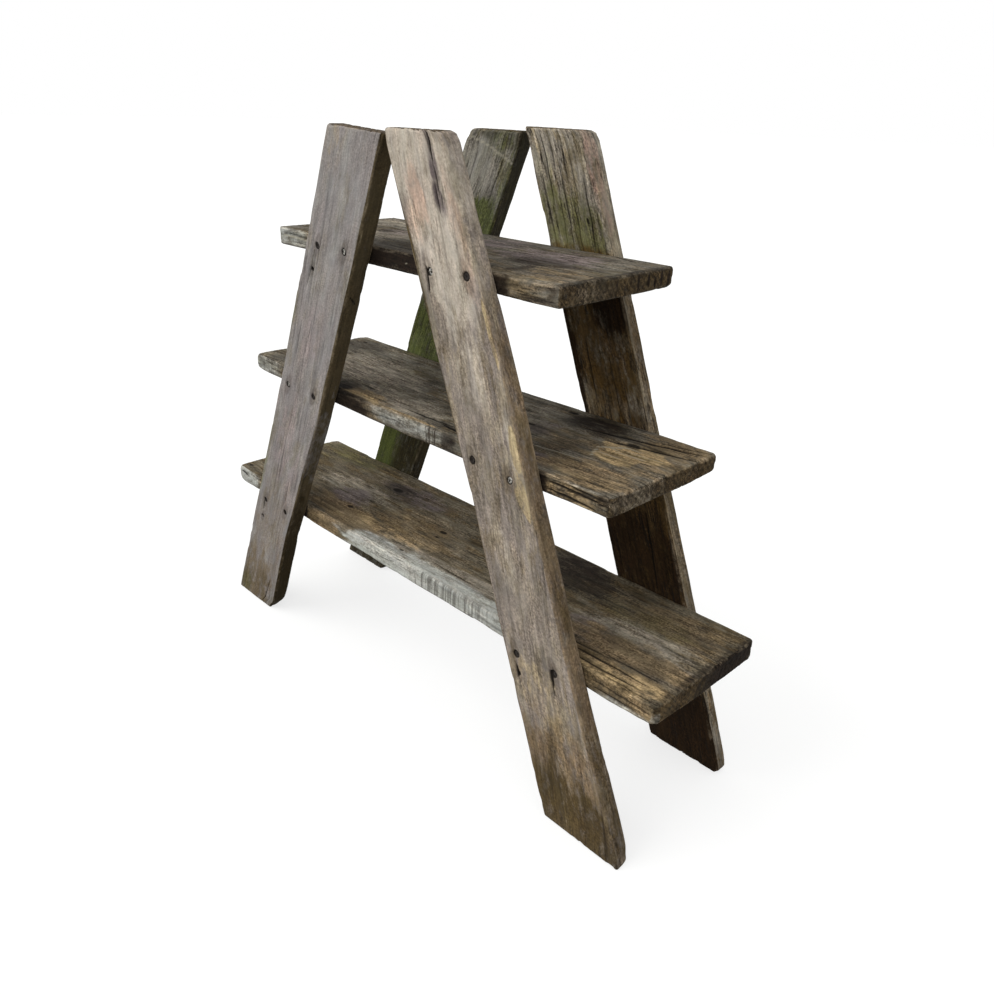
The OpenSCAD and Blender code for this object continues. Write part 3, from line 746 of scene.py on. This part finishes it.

# %% [markdown]
# What the weather did to each leg is written down as a reader would find it, walking along the
# board from its top to its foot. The two front legs are the palest, since sun and rain reach them
# most. The rear pair is shaded by the shelves, so algae and damp have darkened it; where the
# shelves shade it, it is also darkened with painted shade, and so are the inner sides of all legs.

# %% What the weather did to each leg
# Painted shade: a leg's inner side, which faces down towards the other leg and the shelves, is darkened along
# its whole length.
INNER_SIDE_SHADE = (485, 15, 900, 60, 1.6)
LEG_MARKS = {
    "front_left": {
        "slant": -0.05,
        "coarse": 0.6,
        "worn": [(978, 117, 27, 22, 9)],
        "low_edge": [(0, -3), (110, 0.5), (250, 1.5), (480, 3), (760, 0), (978, -2)],
        "high_edge": [(0, 0), (200, 4.5), (480, 5), (660, -3), (780, -6), (960, -2), (978, -9)],
        "straw": {"show": [(20, 20, 26, 20, 0.4)]},
        "warm": {
            "show": [(955, 40, 130, 80, 0.85), (780, 60, 150, 90, 0.45)],
            "high": [(560, 15, 160, 30, 0.25)],
        },
        "moss": {
            "show": [(300, 2, 60, 8, 0.5), (610, 2, 100, 9, 0.6), (960, 12, 40, 30, 0.6)],
            "high": [(560, 15, 120, 30, 0.3)],
        },
        "rosy": {"show": [(330, 60, 90, 30, 0.5), (560, 45, 120, 26, 0.6), (640, 90, 90, 16, 0.5)]},
        "bleached": {"show": [(150, 62, 110, 30, 0.35)]},
        "damp_and_shade": {
            # Painted shade on the inner side face (high).
            "high": [(120, 15, 420, 60, 1.6), (570, 15, 300, 60, 0.65), (860, 15, 240, 60, 1.6)],
            "show": [(960, 60, 70, 100, 0.5)],
        },
        # Painted shade on the inner side face (high), darkest towards the foot.
        "wet_and_shade": {"high": [(930, 15, 230, 60, 1.6)]},
        "cracks": {
            "show": [
                (905, 93, 985, 86, 1.4, 0.5), (945, 102, 985, 99, 1.3, 0.35), (300, 52, 372, 50, 1.6, 0.3),
                (640, 84, 700, 86, 1.6, 0.35), (716, 26, 740, 27, 1.6, 0.5), (186, 26, 250, 23, 1.6, 0.4),
            ],
            "high": [(246, 8, 262, 22, 2.0, 0.7)],
        },
    },
    "front_right": {
        "slant": 0.12,
        "coarse": 1.0,
        "worn": [(963, 117, 27, 20, 5)],
        "low_edge": [(0, -1), (25, -5), (300, 0), (430, 3), (700, 0), (963, 0)],
        "high_edge": [
            (0, -10), (5, -4), (14, -1), (60, 0), (320, 5), (480, 0), (680, -3), (940, 1), (963, -1),
        ],
        "rosy": {"show": [(84, 40, 48, 18, 1.0), (130, 102, 120, 14, 0.5), (110, 24, 40, 16, 0.5)]},
        "straw": {
            "show": [
                (240, 112, 50, 4, 1.0), (388, 108, 34, 8, 0.9), (455, 103, 34, 13, 1.0),
                (755, 56, 60, 50, 0.4),
            ],
            "high": [(357, 12, 50, 8, 0.6)],
        },
        "ashen": {
            "show": [
                (75, 4, 110, 14, 1.0), (215, 30, 90, 26, 0.8), (400, 36, 150, 36, 0.7),
                (640, 60, 110, 60, 0.8),
            ],
        },
        "bleached": {
            "show": [
                (40, 50, 90, 80, 1.0), (150, 60, 120, 50, 1.0), (270, 60, 100, 44, 0.45),
                (400, 103, 100, 8, 0.6), (560, 40, 60, 20, 0.4),
            ],
            "high": [(60, 15, 90, 30, 0.45), (230, 5, 150, 6, 0.5)],
        },
        "warm": {
            "show": [
                (100, 106, 140, 13, 0.25), (440, 100, 60, 16, 0.3), (872, 60, 100, 100, 0.75),
                (760, 30, 60, 30, 0.2),
            ],
            "high": [(560, 15, 420, 60, 0.8)],
        },
        "damp_and_shade": {
            "show": [
                (165, 2, 95, 7, 0.9), (353, 1, 70, 6, 0.7), (985, 58, 150, 150, 1.0),
                (940, 20, 60, 40, 0.8), (905, 60, 50, 30, 0.35),
            ],
            "high": [
                (300, 6, 240, 6, 0.3), (380, 15, 60, 12, 0.5), (600, 20, 60, 12, 0.5),
                (880, 15, 160, 40, 0.65),
            ],
            "low": [INNER_SIDE_SHADE],
        },
        "wet_and_shade": {"show": [(14, 89, 34, 6, 0.75), (50, 85, 30, 10, 0.7), (82, 80, 26, 13, 0.8)]},
        "moss": {"show": [(900, 30, 60, 40, 0.25), (200, 5, 80, 7, 0.5)]},
        "cracks": {
            "show": [
                (-12, 90, 40, 86, 1.8, 0.9), (-8, 83, 26, 84, 1.5, 0.5), (42, 86, 80, 83, 1.6, 0.6),
                (62, 79, 104, 76, 1.7, 0.6), (74, 86, 98, 83, 1.6, 0.5), (172, 23, 208, 17, 1.7, 0.9),
                (698, 83, 724, 80, 2.8, 1.0), (718, 80, 738, 79, 1.3, 0.7), (724, 17, 744, 16, 2.2, 0.9),
                (560, 36, 640, 30, 0.8, 0.3),
            ],
        },
    },
    "rear_left": {
        "slant": 0.02,
        "coarse": 0.9,
        "low_edge": [(0, 8), (8, 3), (24, 0), (970, 0)],
        "high_edge": [(0, -4), (30, 0), (970, 0)],
        "moss": {
            "show": [
                (14, 84, 40, 34, 0.4), (70, 112, 80, 12, 0.5), (150, 80, 46, 50, 1.2),
                (390, 60, 90, 90, 1.1), (640, 60, 130, 90, 0.5), (620, 14, 130, 34, 1.6),
            ],
            "back": [(700, 60, 200, 60, 0.5)],
            "low": [(500, 15, 400, 30, 0.5)],
        },
        "damp_and_shade": {
            # Painted shade on the inner side face (high).
            "high": [(485, 15, 900, 60, 1.1)],
            "show": [
                # Partly painted shade: the front is darkened below the middle shelf and at the foot, where the
                # shelves shade it.
                (4, 56, 14, 36, 0.6), (8, 100, 30, 32, 0.7), (650, 58, 110, 100, 0.8),
                (345, 58, 50, 90, 0.5), (440, 100, 60, 24, 0.45), (178, 58, 12, 90, 0.6),
                (930, 60, 90, 90, 0.7),
            ],
        },
        "wet_and_shade": {
            # Painted shade below the middle shelf and at the foot.
            "show": [(650, 88, 120, 44, 0.8), (930, 60, 90, 90, 0.6)],
            # Painted shade on the inner side face (high).
            "high": [(640, 15, 240, 60, 1.0)],
        },
        "bleached": {"show": [(58, 40, 50, 44, 1.0)]},
        "scratches": {"show": [(9, -2, 30, 70, 6.5, 0.8), (26, 56, 54, 124, 6.0, 0.7)]},
        "cracks": {"show": [(40, 96, 120, 90, 1.0, 0.5), (30, 34, 90, 36, 0.9, 0.4)]},
    },
    "rear_right": {
        "slant": 0.012,
        "coarse": 1.2,
        "worn": [(966, 117, 27, 20, 5)],
        "low_edge": [(0, -2.5), (30, 0), (966, 0)],
        "high_edge": [
            (0, -10), (5, -4), (14, -1), (40, 0), (420, 2), (560, 3), (760, 4), (950, 3), (959, 2),
            (966, -4),
        ],
        "moss": {
            "show": [(132, 45, 60, 60, 0.75), (160, 84, 60, 40, 0.9), (60, 20, 50, 26, 0.35)],
            "back": [(600, 60, 240, 60, 0.5)],
        },
        "damp_and_shade": {
            "low": [INNER_SIDE_SHADE],
            # Painted shade: the front is darkened below the top shelf, where the shelves shade it, and most
            # strongly from the middle shelf down to the foot.
            "show": [
                (300, 58, 130, 130, 0.85), (420, 60, 120, 80, 0.4), (610, 58, 200, 170, 1.7),
                (930, 58, 130, 150, 1.7), (176, 58, 14, 100, 0.6),
            ],
            "high": [(900, 14, 120, 40, 0.5), (300, 20, 90, 20, 0.5)],
        },
        "wet_and_shade": {
            # Partly painted shade below the middle shelf and at the foot; the rest are wet streaks.
            "show": [
                (640, 58, 100, 130, 0.9), (930, 58, 120, 120, 1.7), (226, 50, 26, 80, 0.9),
                (370, 2, 170, 12, 1.2), (250, 92, 44, 34, 1.3), (420, 100, 60, 14, 0.5),
            ],
        },
        "rosy": {"high": [(60, 6, 100, 12, 0.6)], "show": [(60, 110, 60, 8, 0.7)]},
        "warm": {"high": [(500, 15, 360, 60, 0.9)], "show": [(430, 60, 90, 70, 1.1)]},
        "bleached": {
            "high": [
                (370, 8, 24, 8, 0.7), (120, 10, 110, 16, 0.7), (300, 4, 100, 5, 0.5),
                (640, 5, 100, 6, 0.4),
            ],
        },
        "cracks": {
            "show": [
                (4, 30, 110, 28, 1.4, 0.6), (30, 52, 165, 49, 1.4, 0.6), (10, 74, 100, 75, 1.4, 0.5),
                (60, 92, 168, 88, 1.5, 0.65), (80, 14, 165, 16, 1.4, 0.5), (90, 40, 170, 38, 1.4, 0.5),
                (20, 64, 80, 62, 1.4, 0.45), (100, 66, 172, 64, 1.4, 0.5), (70, 104, 160, 102, 1.4, 0.45),
                (6, 42, 60, 42, 1.5, 0.5), (0, 20, 70, 22, 1.5, 0.5), (300, 34, 420, 30, 1.5, 0.5),
                (320, 70, 430, 72, 1.5, 0.5), (350, 88, 460, 86, 1.5, 0.5), (370, 54, 470, 52, 1.5, 0.4),
                (560, 80, 690, 72, 1.4, 0.8),
            ],
        },
        "knots": [(128, 84, 3)],
    },
}
by_face = [v for marks in LEG_MARKS.values() for v in marks.values() if isinstance(v, dict)]
print("stains and cracks noted on the legs:", sum(len(spots) for v in by_face for spots in v.values()))

# %% Build the four legs
LEG_WIDTH = 117.0
NAIL_HOLES = {"front_left": [(220, 28), (756, 30)], "front_right": [(737, 18)]}
LEG_STAINS = {
    "front_left": {
        "rosy": ("#8c7f7c", 0.8),
        "bleached": ("#96928c", 0.8),
        "straw": ("#8d7d63", 0.8),
        "warm": ("#655846", 0.85),
        "moss": ("#63633c", 0.7),
        "damp_and_shade": ("#4f442f", 0.97),
        "wet_and_shade": ("#2b2210", 0.92),
    },
    "front_right": {
        "ashen": ("#83796e", 0.8),
        "bleached": ("#b8ad9e", 0.9),
        "rosy": ("#b89c88", 0.75),
        "straw": ("#b09d79", 0.85),
        "warm": ("#76634a", 0.85),
        "wet_and_shade": ("#5a4f50", 0.9),
        "moss": ("#5d5b38", 0.6),
        "damp_and_shade": ("#463921", 0.9),
    },
    "rear_left": {
        "bleached": ("#8b877c", 0.8),
        "damp_and_shade": ("#2b2614", 0.85),
        "moss": ("#4c5325", 0.85),
        "wet_and_shade": ("#2a2312", 0.9),
    },
    "rear_right": {
        "warm": ("#665740", 0.8),
        "bleached": ("#a39781", 0.8),
        "rosy": ("#93776a", 0.8),
        "moss": ("#5d5c35", 0.85),
        "damp_and_shade": ("#4a3719", 0.95),
        "wet_and_shade": ("#24170a", 0.95),
    },
}
LEG_WOODS = {
    "front_left": ("#86807c", "#7d756c", "#908c86", 0.5, 0.4, 0.15),
    "front_right": ("#877d73", "#7e7160", "#a0947f", 0.9, 0.5, 0.45),
    "rear_left": ("#736f66", "#625d4a", "#87837a", 1.0, 0.5, 0.7),
    "rear_right": ("#8c8476", "#776b56", "#a09787", 1.2, 0.5, 0.9),
}


def into_outline(corners, front, size):
    """Places board measures in the stand: x and z blend the four corners by the shares u and v, and w runs
    from the front face to the back."""
    top_left, top_right, foot_left, foot_right = corners

    def place(q):
        s, t = (q[:, 0] / size[0])[:, None], (q[:, 1] / size[1])[:, None]
        top = top_left + (top_right - top_left) * t
        foot = foot_left + (foot_right - foot_left) * t
        flat = top + (foot - top) * s
        return np.stack([flat[:, 0], front + q[:, 2] * MM, flat[:, 1]], axis=1)

    return place


def head_on_board(corners, size, x, z):
    """Board measures (u, v) of a place in the stand: the share down the board, then the share across it."""
    top_left, top_right, foot_left, foot_right = corners
    s = t = 0.5
    for _ in range(12):
        left, far = top_left + (foot_left - top_left) * s, top_right + (foot_right - top_right) * s
        t = (x - left[0]) / (far[0] - left[0])
        top, foot = top_left + (top_right - top_left) * t, foot_left + (foot_right - foot_left) * t
        s = (z - top[1]) / (foot[1] - top[1])
    return float(s * size[0]), float(t * size[1])


# Depth of a screw hole, its radius where the head is bright and where it isn't, and the nail holes, in mm.
SINK = 3.8
BRIGHT_HOLE = 4.7
# Round a dark head the recess is wider, so more of it is painted near black as shade.
DARK_HOLE = {"front_left": 4.5, "front_right": 5.4, "rear_left": 5.4, "rear_right": 5.4}
NAIL_RADIUS = 3.0
NAIL_DEPTH = 6.0
LEG_SEED = 3
# The screw of a pair whose head is still bright, 0 for the left one and 1 for the right one.
STILL_BRIGHT = {
    "top_shelf_screws_front_left": 1,
    "middle_shelf_screws_front_left": 0,
    "top_shelf_screws_front_right": 0,
    "middle_shelf_screws_front_right": 1,
    "bottom_shelf_screws_rear_left": 0,
    "top_shelf_screws_rear_right": 1,
}
for number, leg in enumerate(LEGS):
    node = leg + "_leg"
    low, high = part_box(node)
    corners = leg_corners(node)
    length = np.mean([np.linalg.norm(corners[2 + i] - corners[i]) for i in (0, 1)]) / MM
    size = (length, LEG_WIDTH, (high.y - low.y) / MM)
    face = "show" if leg.startswith("front") else "back"
    nail_holes = [(u, v, face, NAIL_RADIUS, NAIL_DEPTH) for u, v in NAIL_HOLES.get(leg, ())]
    screw_holes = []
    for group in (f"{shelf}_screws_{leg}" for shelf in SHELVES):
        for side, (x, z) in enumerate(screw_heads(group)):
            radius = BRIGHT_HOLE if STILL_BRIGHT.get(group) == side else DARK_HOLE[leg]
            screw_holes.append((*head_on_board(corners, size, x, z), face, radius, SINK))
    place = into_outline(corners, low.y, size)
    holes = screw_holes + nail_holes
    board = make_board(node + "_weathered", size, place, LEG_MARKS[leg], holes, LEG_SEED + number)
    wood = weathered_wood(f"weathered_{leg}", *LEG_WOODS[leg], stains=LEG_STAINS[leg])
    board.data.materials.append(wood)
    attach(board, "root")
    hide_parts(node)

# %% [markdown]
# ## Shelves
#
# The shelves are wide boards that lie flat, so rain stands on them: they are browner and blacker
# than the legs, with knots, long drying cracks and a bleached front edge. Their undersides, and
# their front edges beside the legs, are darkened with painted shade. They run from their left
# end (u) and from their rear edge (v), and w goes down from the top face.

# %% What the weather did to each shelf
SHELF_MARKS = {
    "top_shelf": {
        "slant": 0.02,
        "coarse": 1.0,
        "end_edge": [(0, -9), (5, -5), (14, -4), (120, -2), (226, 0), (232, -3)],
        "bleached": {
            "high": [(30, 14, 80, 24, 0.5), (580, 6, 40, 6, 0.15)],
            "show": [(90, 60, 90, 34, 0.2), (590, 224, 30, 6, 0.15)],
        },
        "rosy": {"show": [(460, 90, 90, 60, 0.9), (330, 60, 60, 50, 0.7), (160, 110, 50, 24, 0.6)]},
        "ashen": {
            "show": [(50, 44, 80, 50, 0.8), (170, 130, 70, 34, 0.9), (560, 50, 60, 40, 0.3)],
            "end": [(172, 14, 50, 30, 0.35)],
        },
        "straw": {
            "show": [(575, 212, 46, 16, 0.25), (540, 218, 40, 8, 0.3)],
            "high": [(565, 12, 50, 12, 0.2)],
        },
        "warm": {
            "show": [(560, 170, 80, 56, 0.45)],
            "high": [(540, 10, 70, 20, 0.5)],
            "end": [(70, 14, 90, 30, 0.3)],
        },
        "wet_and_shade": {
            "end": [
                (14, 16, 3, 14, 1.0), (30, 12, 3, 16, 1.2), (44, 18, 2.5, 14, 1.0), (58, 10, 3, 12, 1.1),
                (80, 14, 3, 16, 0.9), (96, 10, 2.5, 10, 0.6), (124, 12, 3, 14, 0.6),
            ],
            # Painted shade: the front edge (high) is darkened beside and between the legs.
            "high": [(290, 16, 110, 60, 1.0), (508, 14, 22, 40, 0.9)],
            "show": [(497, 180, 12, 50, 0.6)],
        },
        "damp_and_shade": {
            "show": [
                (300, 200, 90, 50, 0.7), (130, 116, 22, 12, 0.8), (400, 20, 70, 24, 0.4),
                (480, 130, 70, 34, 0.75), (606, 116, 8, 200, 0.8),
            ],
            # Painted shade: the front edge (high) is darkened beside and between the legs.
            "high": [(290, 16, 90, 60, 1.0), (575, 24, 40, 8, 0.65), (600, 14, 14, 24, 0.6)],
            # Painted shade: the underside (back) is darkened all over.
            "back": [(305, 116, 400, 200, 0.8)],
        },
        "moss": {"show": [(380, 5, 50, 8, 0.5), (590, 120, 30, 60, 0.3)]},
        "cracks": {
            "show": [
                (60, 40, 190, 36, 2.0, 0.6), (70, 66, 200, 62, 2.0, 0.5), (90, 90, 210, 84, 2.0, 0.5),
                (300, 50, 380, 46, 2.0, 0.5), (360, 96, 470, 90, 2.0, 0.5), (510, 6, 560, 20, 2.6, 0.8),
                (420, 140, 500, 136, 2.0, 0.6), (500, 186, 590, 180, 2.0, 0.5),
                (530, 120, 606, 114, 2.0, 0.5),
            ],
            "high": [
                (530, 9, 575, 14, 1.8, 0.4), (560, 6, 606, 10, 1.7, 0.3), (548, 19, 604, 22, 1.7, 0.3),
                (10, 8, 90, 10, 1.7, 0.5), (30, 19, 80, 20, 1.7, 0.4),
            ],
        },
        "scratches": {
            "show": [(80, 30, 170, 27, 2.2, 0.7), (90, 54, 200, 50, 2.2, 0.6), (80, 78, 180, 74, 2.2, 0.5)],
            "high": [(12, 12, 88, 14, 1.6, 0.8), (40, 23, 90, 23, 1.2, 0.6)],
        },
        "worn": [(560, 232, 0, 60, 3), (610, 0, 28, 30, 5)],
    },
    "middle_shelf": {
        "slant": -0.01,
        "coarse": 1.1,
        "sag": [(0, -2.5), (400, 2.3), (817, -1.6)],
        "start_edge": [(0, 20), (6, 13), (18, 9), (220, -8), (232, -3)],
        "end_edge": [(0, -7), (5, -2), (14, 0), (222, 0), (232, -4)],
        "worn": [
            (330, 232, 0, 130, 6), (817, 0, 28, 40, 7), (817, 0, 0, 30, 2), (0, 232, 29, 14, 5),
            (0, 232, 0, 10, 3),
        ],
        "moss": {"show": [(165, 6, 46, 12, 0.9), (280, 60, 80, 40, 0.3)], "high": [(30, 10, 60, 10, 0.4)]},
        "bleached": {
            "high": [(430, 10, 110, 16, 0.5), (30, 14, 60, 24, 0.58)],
            "show": [(220, 125, 100, 34, 0.15), (525, 50, 50, 34, 0.15), (780, 230, 44, 4, 0.4)],
        },
        "ashen": {
            "show": [
                (350, 196, 120, 44, 1.3), (215, 125, 130, 50, 1.3), (140, 80, 80, 40, 0.4),
                (520, 50, 60, 40, 0.4),
            ],
            "end": [(180, 14, 60, 30, 0.5)],
        },
        "rosy": {"show": [(230, 140, 100, 30, 0.3), (665, 205, 40, 30, 0.9), (590, 110, 40, 30, 0.5)]},
        "straw": {
            "show": [
                (742, 92, 52, 26, 1.4), (735, 118, 36, 26, 1.3), (300, 222, 60, 10, 0.7),
                (400, 226, 90, 6, 0.8),
            ],
            "high": [(760, 18, 70, 12, 0.35)],
        },
        "warm": {
            "show": [
                (310, 212, 70, 18, 1.0), (755, 190, 90, 46, 1.0), (750, 110, 100, 60, 0.7),
                (640, 120, 50, 60, 0.5), (770, 40, 70, 50, 0.9),
            ],
            "high": [(745, 14, 60, 30, 0.7), (320, 14, 60, 20, 0.7)],
        },
        "wet_and_shade": {
            "show": [(636, 36, 60, 24, 0.7), (700, 56, 90, 5, 0.7), (246, 220, 22, 14, 0.9)],
            # Painted shade: the front edge (high) is darkened, mostly beside the legs.
            "high": [(270, 14, 66, 30, 1.1), (524, 12, 20, 30, 0.7), (702, 14, 16, 30, 0.8)],
        },
        "damp_and_shade": {
            "show": [
                (640, 40, 80, 40, 0.75), (740, 18, 70, 14, 0.25), (60, 40, 70, 30, 0.65),
                (655, 150, 40, 40, 0.5), (240, 205, 40, 26, 0.9), (560, 120, 60, 40, 0.5),
            ],
            # Painted shade: the front edge (high) is darkened, mostly beside the legs.
            "high": [(700, 14, 20, 30, 0.9), (810, 14, 14, 30, 0.7)],
            # Painted shade: the underside (back) is darkened all over.
            "back": [(408, 116, 500, 200, 0.85)],
        },
        "knots": [(40, 28, 4), (575, 22, 5), (568, 108, 4), (722, 66, 6)],
        "saw_marks": {"high": [(455, 510, 1.0), (10, 80, 0.5)]},
        "cracks": {
            "show": [
                (400, 205, 512, 202, 2.6, 0.8), (480, 206, 540, 214, 3.0, 0.9),
                (620, 64, 812, 26, 3.4, 1.0), (680, 78, 818, 48, 3.0, 0.9), (740, 30, 816, 10, 2.4, 0.7),
                (470, 70, 560, 60, 2.4, 0.5), (704, 112, 744, 109, 2.0, 0.6),
                (722, 98, 776, 94, 2.0, 0.55), (712, 128, 744, 126, 2.0, 0.5),
                (714, 76, 748, 73, 1.8, 0.5), (700, 190, 810, 180, 2.0, 0.5),
                (740, 214, 812, 206, 2.0, 0.5),
            ],
            "high": [
                (300, 16, 450, 13, 1.7, 0.5), (708, 9, 812, 14, 1.9, 0.9), (712, 20, 800, 24, 1.8, 0.8),
                (750, 5, 818, 8, 1.7, 0.7),
            ],
        },
        "scratches": {
            "show": [
                (691, 104, 708, 142, 4.5, 0.9), (691, 108, 730, 76, 4.0, 0.8),
                (696, 100, 724, 98, 2.0, 0.7), (704, 84, 752, 80, 2.0, 0.6),
                (716, 106, 770, 101, 2.0, 0.6), (728, 92, 792, 87, 2.0, 0.5),
                (700, 122, 742, 119, 2.0, 0.6), (630, 168, 720, 160, 1.8, 0.6),
            ],
        },
    },
    "bottom_shelf": {
        "slant": 0.008,
        "coarse": 1.1,
        "start_edge": [(0, 16), (6, 10), (16, 6), (222, 0), (232, 4)],
        "end_edge": [(0, -6), (4, -2), (12, 0), (222, 0), (232, -4)],
        "worn": [(500, 232, 0, 200, 4), (1030, 232, 31, 30, 4), (0, 232, 31, 14, 6), (0, 232, 0, 10, 3)],
        "moss": {
            "show": [
                (110, 30, 110, 40, 0.8), (160, 4, 60, 8, 0.7), (60, 60, 60, 30, 0.5),
                (900, 70, 100, 34, 0.5),
            ],
        },
        "bleached": {
            "show": [(590, 222, 200, 19, 1.1)],
            "high": [(585, 16, 212, 36, 1.5), (30, 16, 60, 26, 0.85), (990, 28, 60, 8, 0.5)],
            "end": [(228, 22, 10, 14, 0.4)],
        },
        "rosy": {"show": [(270, 145, 60, 40, 0.9), (860, 160, 50, 36, 0.6), (350, 60, 110, 34, 0.7)]},
        "ashen": {
            "show": [
                (590, 208, 200, 30, 1.2), (250, 124, 100, 34, 0.95), (400, 205, 120, 20, 0.75),
                (925, 138, 95, 54, 1.1), (560, 150, 60, 30, 0.3),
            ],
        },
        "straw": {
            "show": [(440, 184, 110, 16, 0.5), (940, 212, 130, 24, 0.5)],
            "high": [(270, 14, 50, 30, 0.25), (985, 10, 40, 10, 0.2)],
        },
        "warm": {
            "show": [
                (450, 150, 130, 50, 0.6), (370, 210, 80, 24, 0.8), (320, 192, 110, 34, 1.2),
                (940, 206, 130, 30, 0.8), (930, 160, 110, 30, 1.3), (920, 60, 110, 40, 0.75),
            ],
            "high": [(300, 16, 50, 30, 1.3), (970, 14, 80, 30, 0.9)],
        },
        "damp_and_shade": {
            "show": [
                (310, 62, 50, 24, 0.6), (60, 60, 60, 40, 0.35), (165, 75, 70, 30, 0.3),
                (370, 150, 40, 26, 0.3), (740, 45, 90, 60, 0.95), (500, 130, 80, 40, 0.3),
                (890, 50, 130, 50, 0.45), (980, 180, 30, 16, 0.5), (262, 205, 26, 30, 0.4),
                (870, 200, 50, 26, 0.45), (1026, 116, 10, 200, 0.7),
            ],
            # Painted shade: the underside (back) is darkened all over.
            "back": [(515, 116, 600, 200, 0.85)],
            "end": [(66, 16, 70, 60, 1.7)],
            # Painted shade: the front edge (high) is darkened beside a leg.
            "high": [(240, 16, 12, 30, 0.9)],
        },
        "wet_and_shade": {
            "show": [(742, 36, 64, 40, 0.6), (872, 200, 26, 16, 0.3)],
            "end": [(66, 16, 50, 60, 1.4)],
            # Painted shade: the front edge (high) is darkened beside a leg.
            "high": [(238, 16, 10, 30, 0.9)],
        },
        "knots": [
            (495, 116, 5), (500, 136, 2.5), (305, 66, 8), (305, 175, 5), (498, 209, 2.5), (18, 212, 4),
        ],
        "saw_marks": {"high": [(545, 730, 0.6), (930, 1020, 0.3)]},
        "cracks": {
            "show": [
                (820, 204, 1000, 200, 2.0, 0.7), (860, 218, 1010, 214, 1.8, 0.7),
                (930, 224, 1024, 224, 1.8, 0.5), (640, 150, 760, 146, 2.0, 0.4),
                (900, 186, 1010, 182, 2.0, 0.6), (840, 194, 930, 190, 1.8, 0.6),
                (560, 196, 680, 198, 1.8, 0.5),
            ],
            "high": [
                (930, 12, 1020, 14, 1.7, 0.6), (930, 22, 1010, 23, 1.7, 0.6), (8, 9, 34, 12, 2.4, 0.8),
                (400, 9, 520, 10, 1.6, 0.3),
            ],
        },
    },
}

# %% Build the three shelves
SHELF_STAINS = {
    "ashen": ("#857c6d", 0.85),
    "rosy": ("#6a5f5c", 0.85),
    "warm": ("#7a684d", 0.85),
    "straw": ("#a38c66", 0.84),
    "bleached": ("#acaca4", 0.95),
    "moss": ("#5b5536", 0.8),
    "damp_and_shade": ("#2b241c", 0.9),
    "wet_and_shade": ("#1e1610", 0.95),
}
SHELF_SEED = 20
SHELF_STEP = (4.2, 1.75, 2.0)
SHELF_WOODS = {
    "top_shelf": ("#5e584d", "#574c3b", "#757064", 1.4, 0.5, 0.8),
    "middle_shelf": ("#645e52", "#5a4f3e", "#7c7566", 1.35, 0.5, 0.8),
    "bottom_shelf": ("#625a4a", "#5d4f39", "#7c705c", 1.3, 0.5, 0.6),
}


def onto_bearers(low, high):
    """Places a shelf's measures: u to the right from the left end, v forwards from the rear edge, w down."""

    def place(q):
        return np.stack([low.x + q[:, 0] * MM, high.y - q[:, 1] * MM, high.z - q[:, 2] * MM], axis=1)

    return place


for number, shelf in enumerate(SHELVES):
    low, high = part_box(shelf)
    size = np.array(high - low) / MM
    name = shelf + "_weathered"
    seed = SHELF_SEED + number
    board = make_board(name, size, onto_bearers(low, high), SHELF_MARKS[shelf], (), seed, SHELF_STEP)
    wood = weathered_wood(f"weathered_{shelf}", *SHELF_WOODS[shelf], stains=SHELF_STAINS)
    board.data.materials.append(wood)
    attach(board, "root")
    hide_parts(shelf)

# %% [markdown]
# ## Screws
#
# Zinc plated countersunk screws, sunk below the face of the legs. A few heads still show bright
# zinc, and the rest have rusted dark. The CAD screws have the right shape, thread and cross recess,
# so they stay as they are and only get their finish: metal under patches of matt brown rust.

# %% Zinc with rust
HEAD_REACH = 20 * MM


def rusted_zinc(name, bright_at=None):
    """Zinc is a grey metal of roughness 0.45, and rust is a matt brown crust. Rust covers all but the
    screw whose middle is bright_at, and noise 2 mm wide frets its border."""
    material, tree, output = new_material(name)
    at = add(tree, "ShaderNodeTexCoord").outputs["Object"]
    patch_at = add(tree, "ShaderNodeMapping", {"Vector": at, "Scale": per_mm(2, 2, 2)})
    patch = add(tree, "ShaderNodeTexNoise", {"Vector": patch_at, "Scale": 1, "Detail": 4}).outputs["Fac"]
    crust = add(tree, "ShaderNodeMapRange", {"Value": patch, "From Min": 0.15, "From Max": 0.35})
    if bright_at:
        away = add(tree, "ShaderNodeVectorMath", {0: at, 1: bright_at}, operation="DISTANCE")
        clean = add(tree, "ShaderNodeMapRange", {"Value": patch, "From Min": 0.47, "From Max": 0.60})
        far = {0: away.outputs["Value"], 1: HEAD_REACH}
        far = add(tree, "ShaderNodeMath", far, operation="GREATER_THAN")
        crust = add(tree, "ShaderNodeMix", {"Factor": far, "A": clean, "B": crust}, data_type="FLOAT")
    inputs = {"Factor": crust, "A": linear("#b4b1a9"), "B": linear("#1c140e")}
    colour = add(tree, "ShaderNodeMix", inputs, data_type="RGBA")
    metal = add(tree, "ShaderNodeMapRange", {"Value": crust, "To Min": 1.0, "To Max": 0.0})
    matt = add(tree, "ShaderNodeMapRange", {"Value": crust, "To Min": 0.45, "To Max": 0.9})
    bump = add(tree, "ShaderNodeBump", {"Height": patch, "Strength": 0.4, "Distance": 0.2 * MM})
    surface = {"Base Color": colour, "Metallic": metal, "Roughness": matt, "Normal": bump}
    steel = add(tree, "ShaderNodeBsdfPrincipled", surface)
    tree.links.new(steel.outputs[0], output.inputs["Surface"])
    return material


rusted = rusted_zinc("rusted_steel")
for node in (f"{shelf}_screws_{leg}" for shelf in SHELVES for leg in LEGS):
    finish = rusted
    if node in STILL_BRIGHT:
        x, z = screw_heads(node)[STILL_BRIGHT[node]]
        low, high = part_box(node)
        y = low.y if "front" in node else high.y
        finish = rusted_zinc("zinc_" + node, (x, y, z))
    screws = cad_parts[node].data
    screws.materials.clear()
    screws.materials.append(finish)
print("screws that are still bright:", len(STILL_BRIGHT), "of", 2 * len(SHELVES) * len(LEGS))
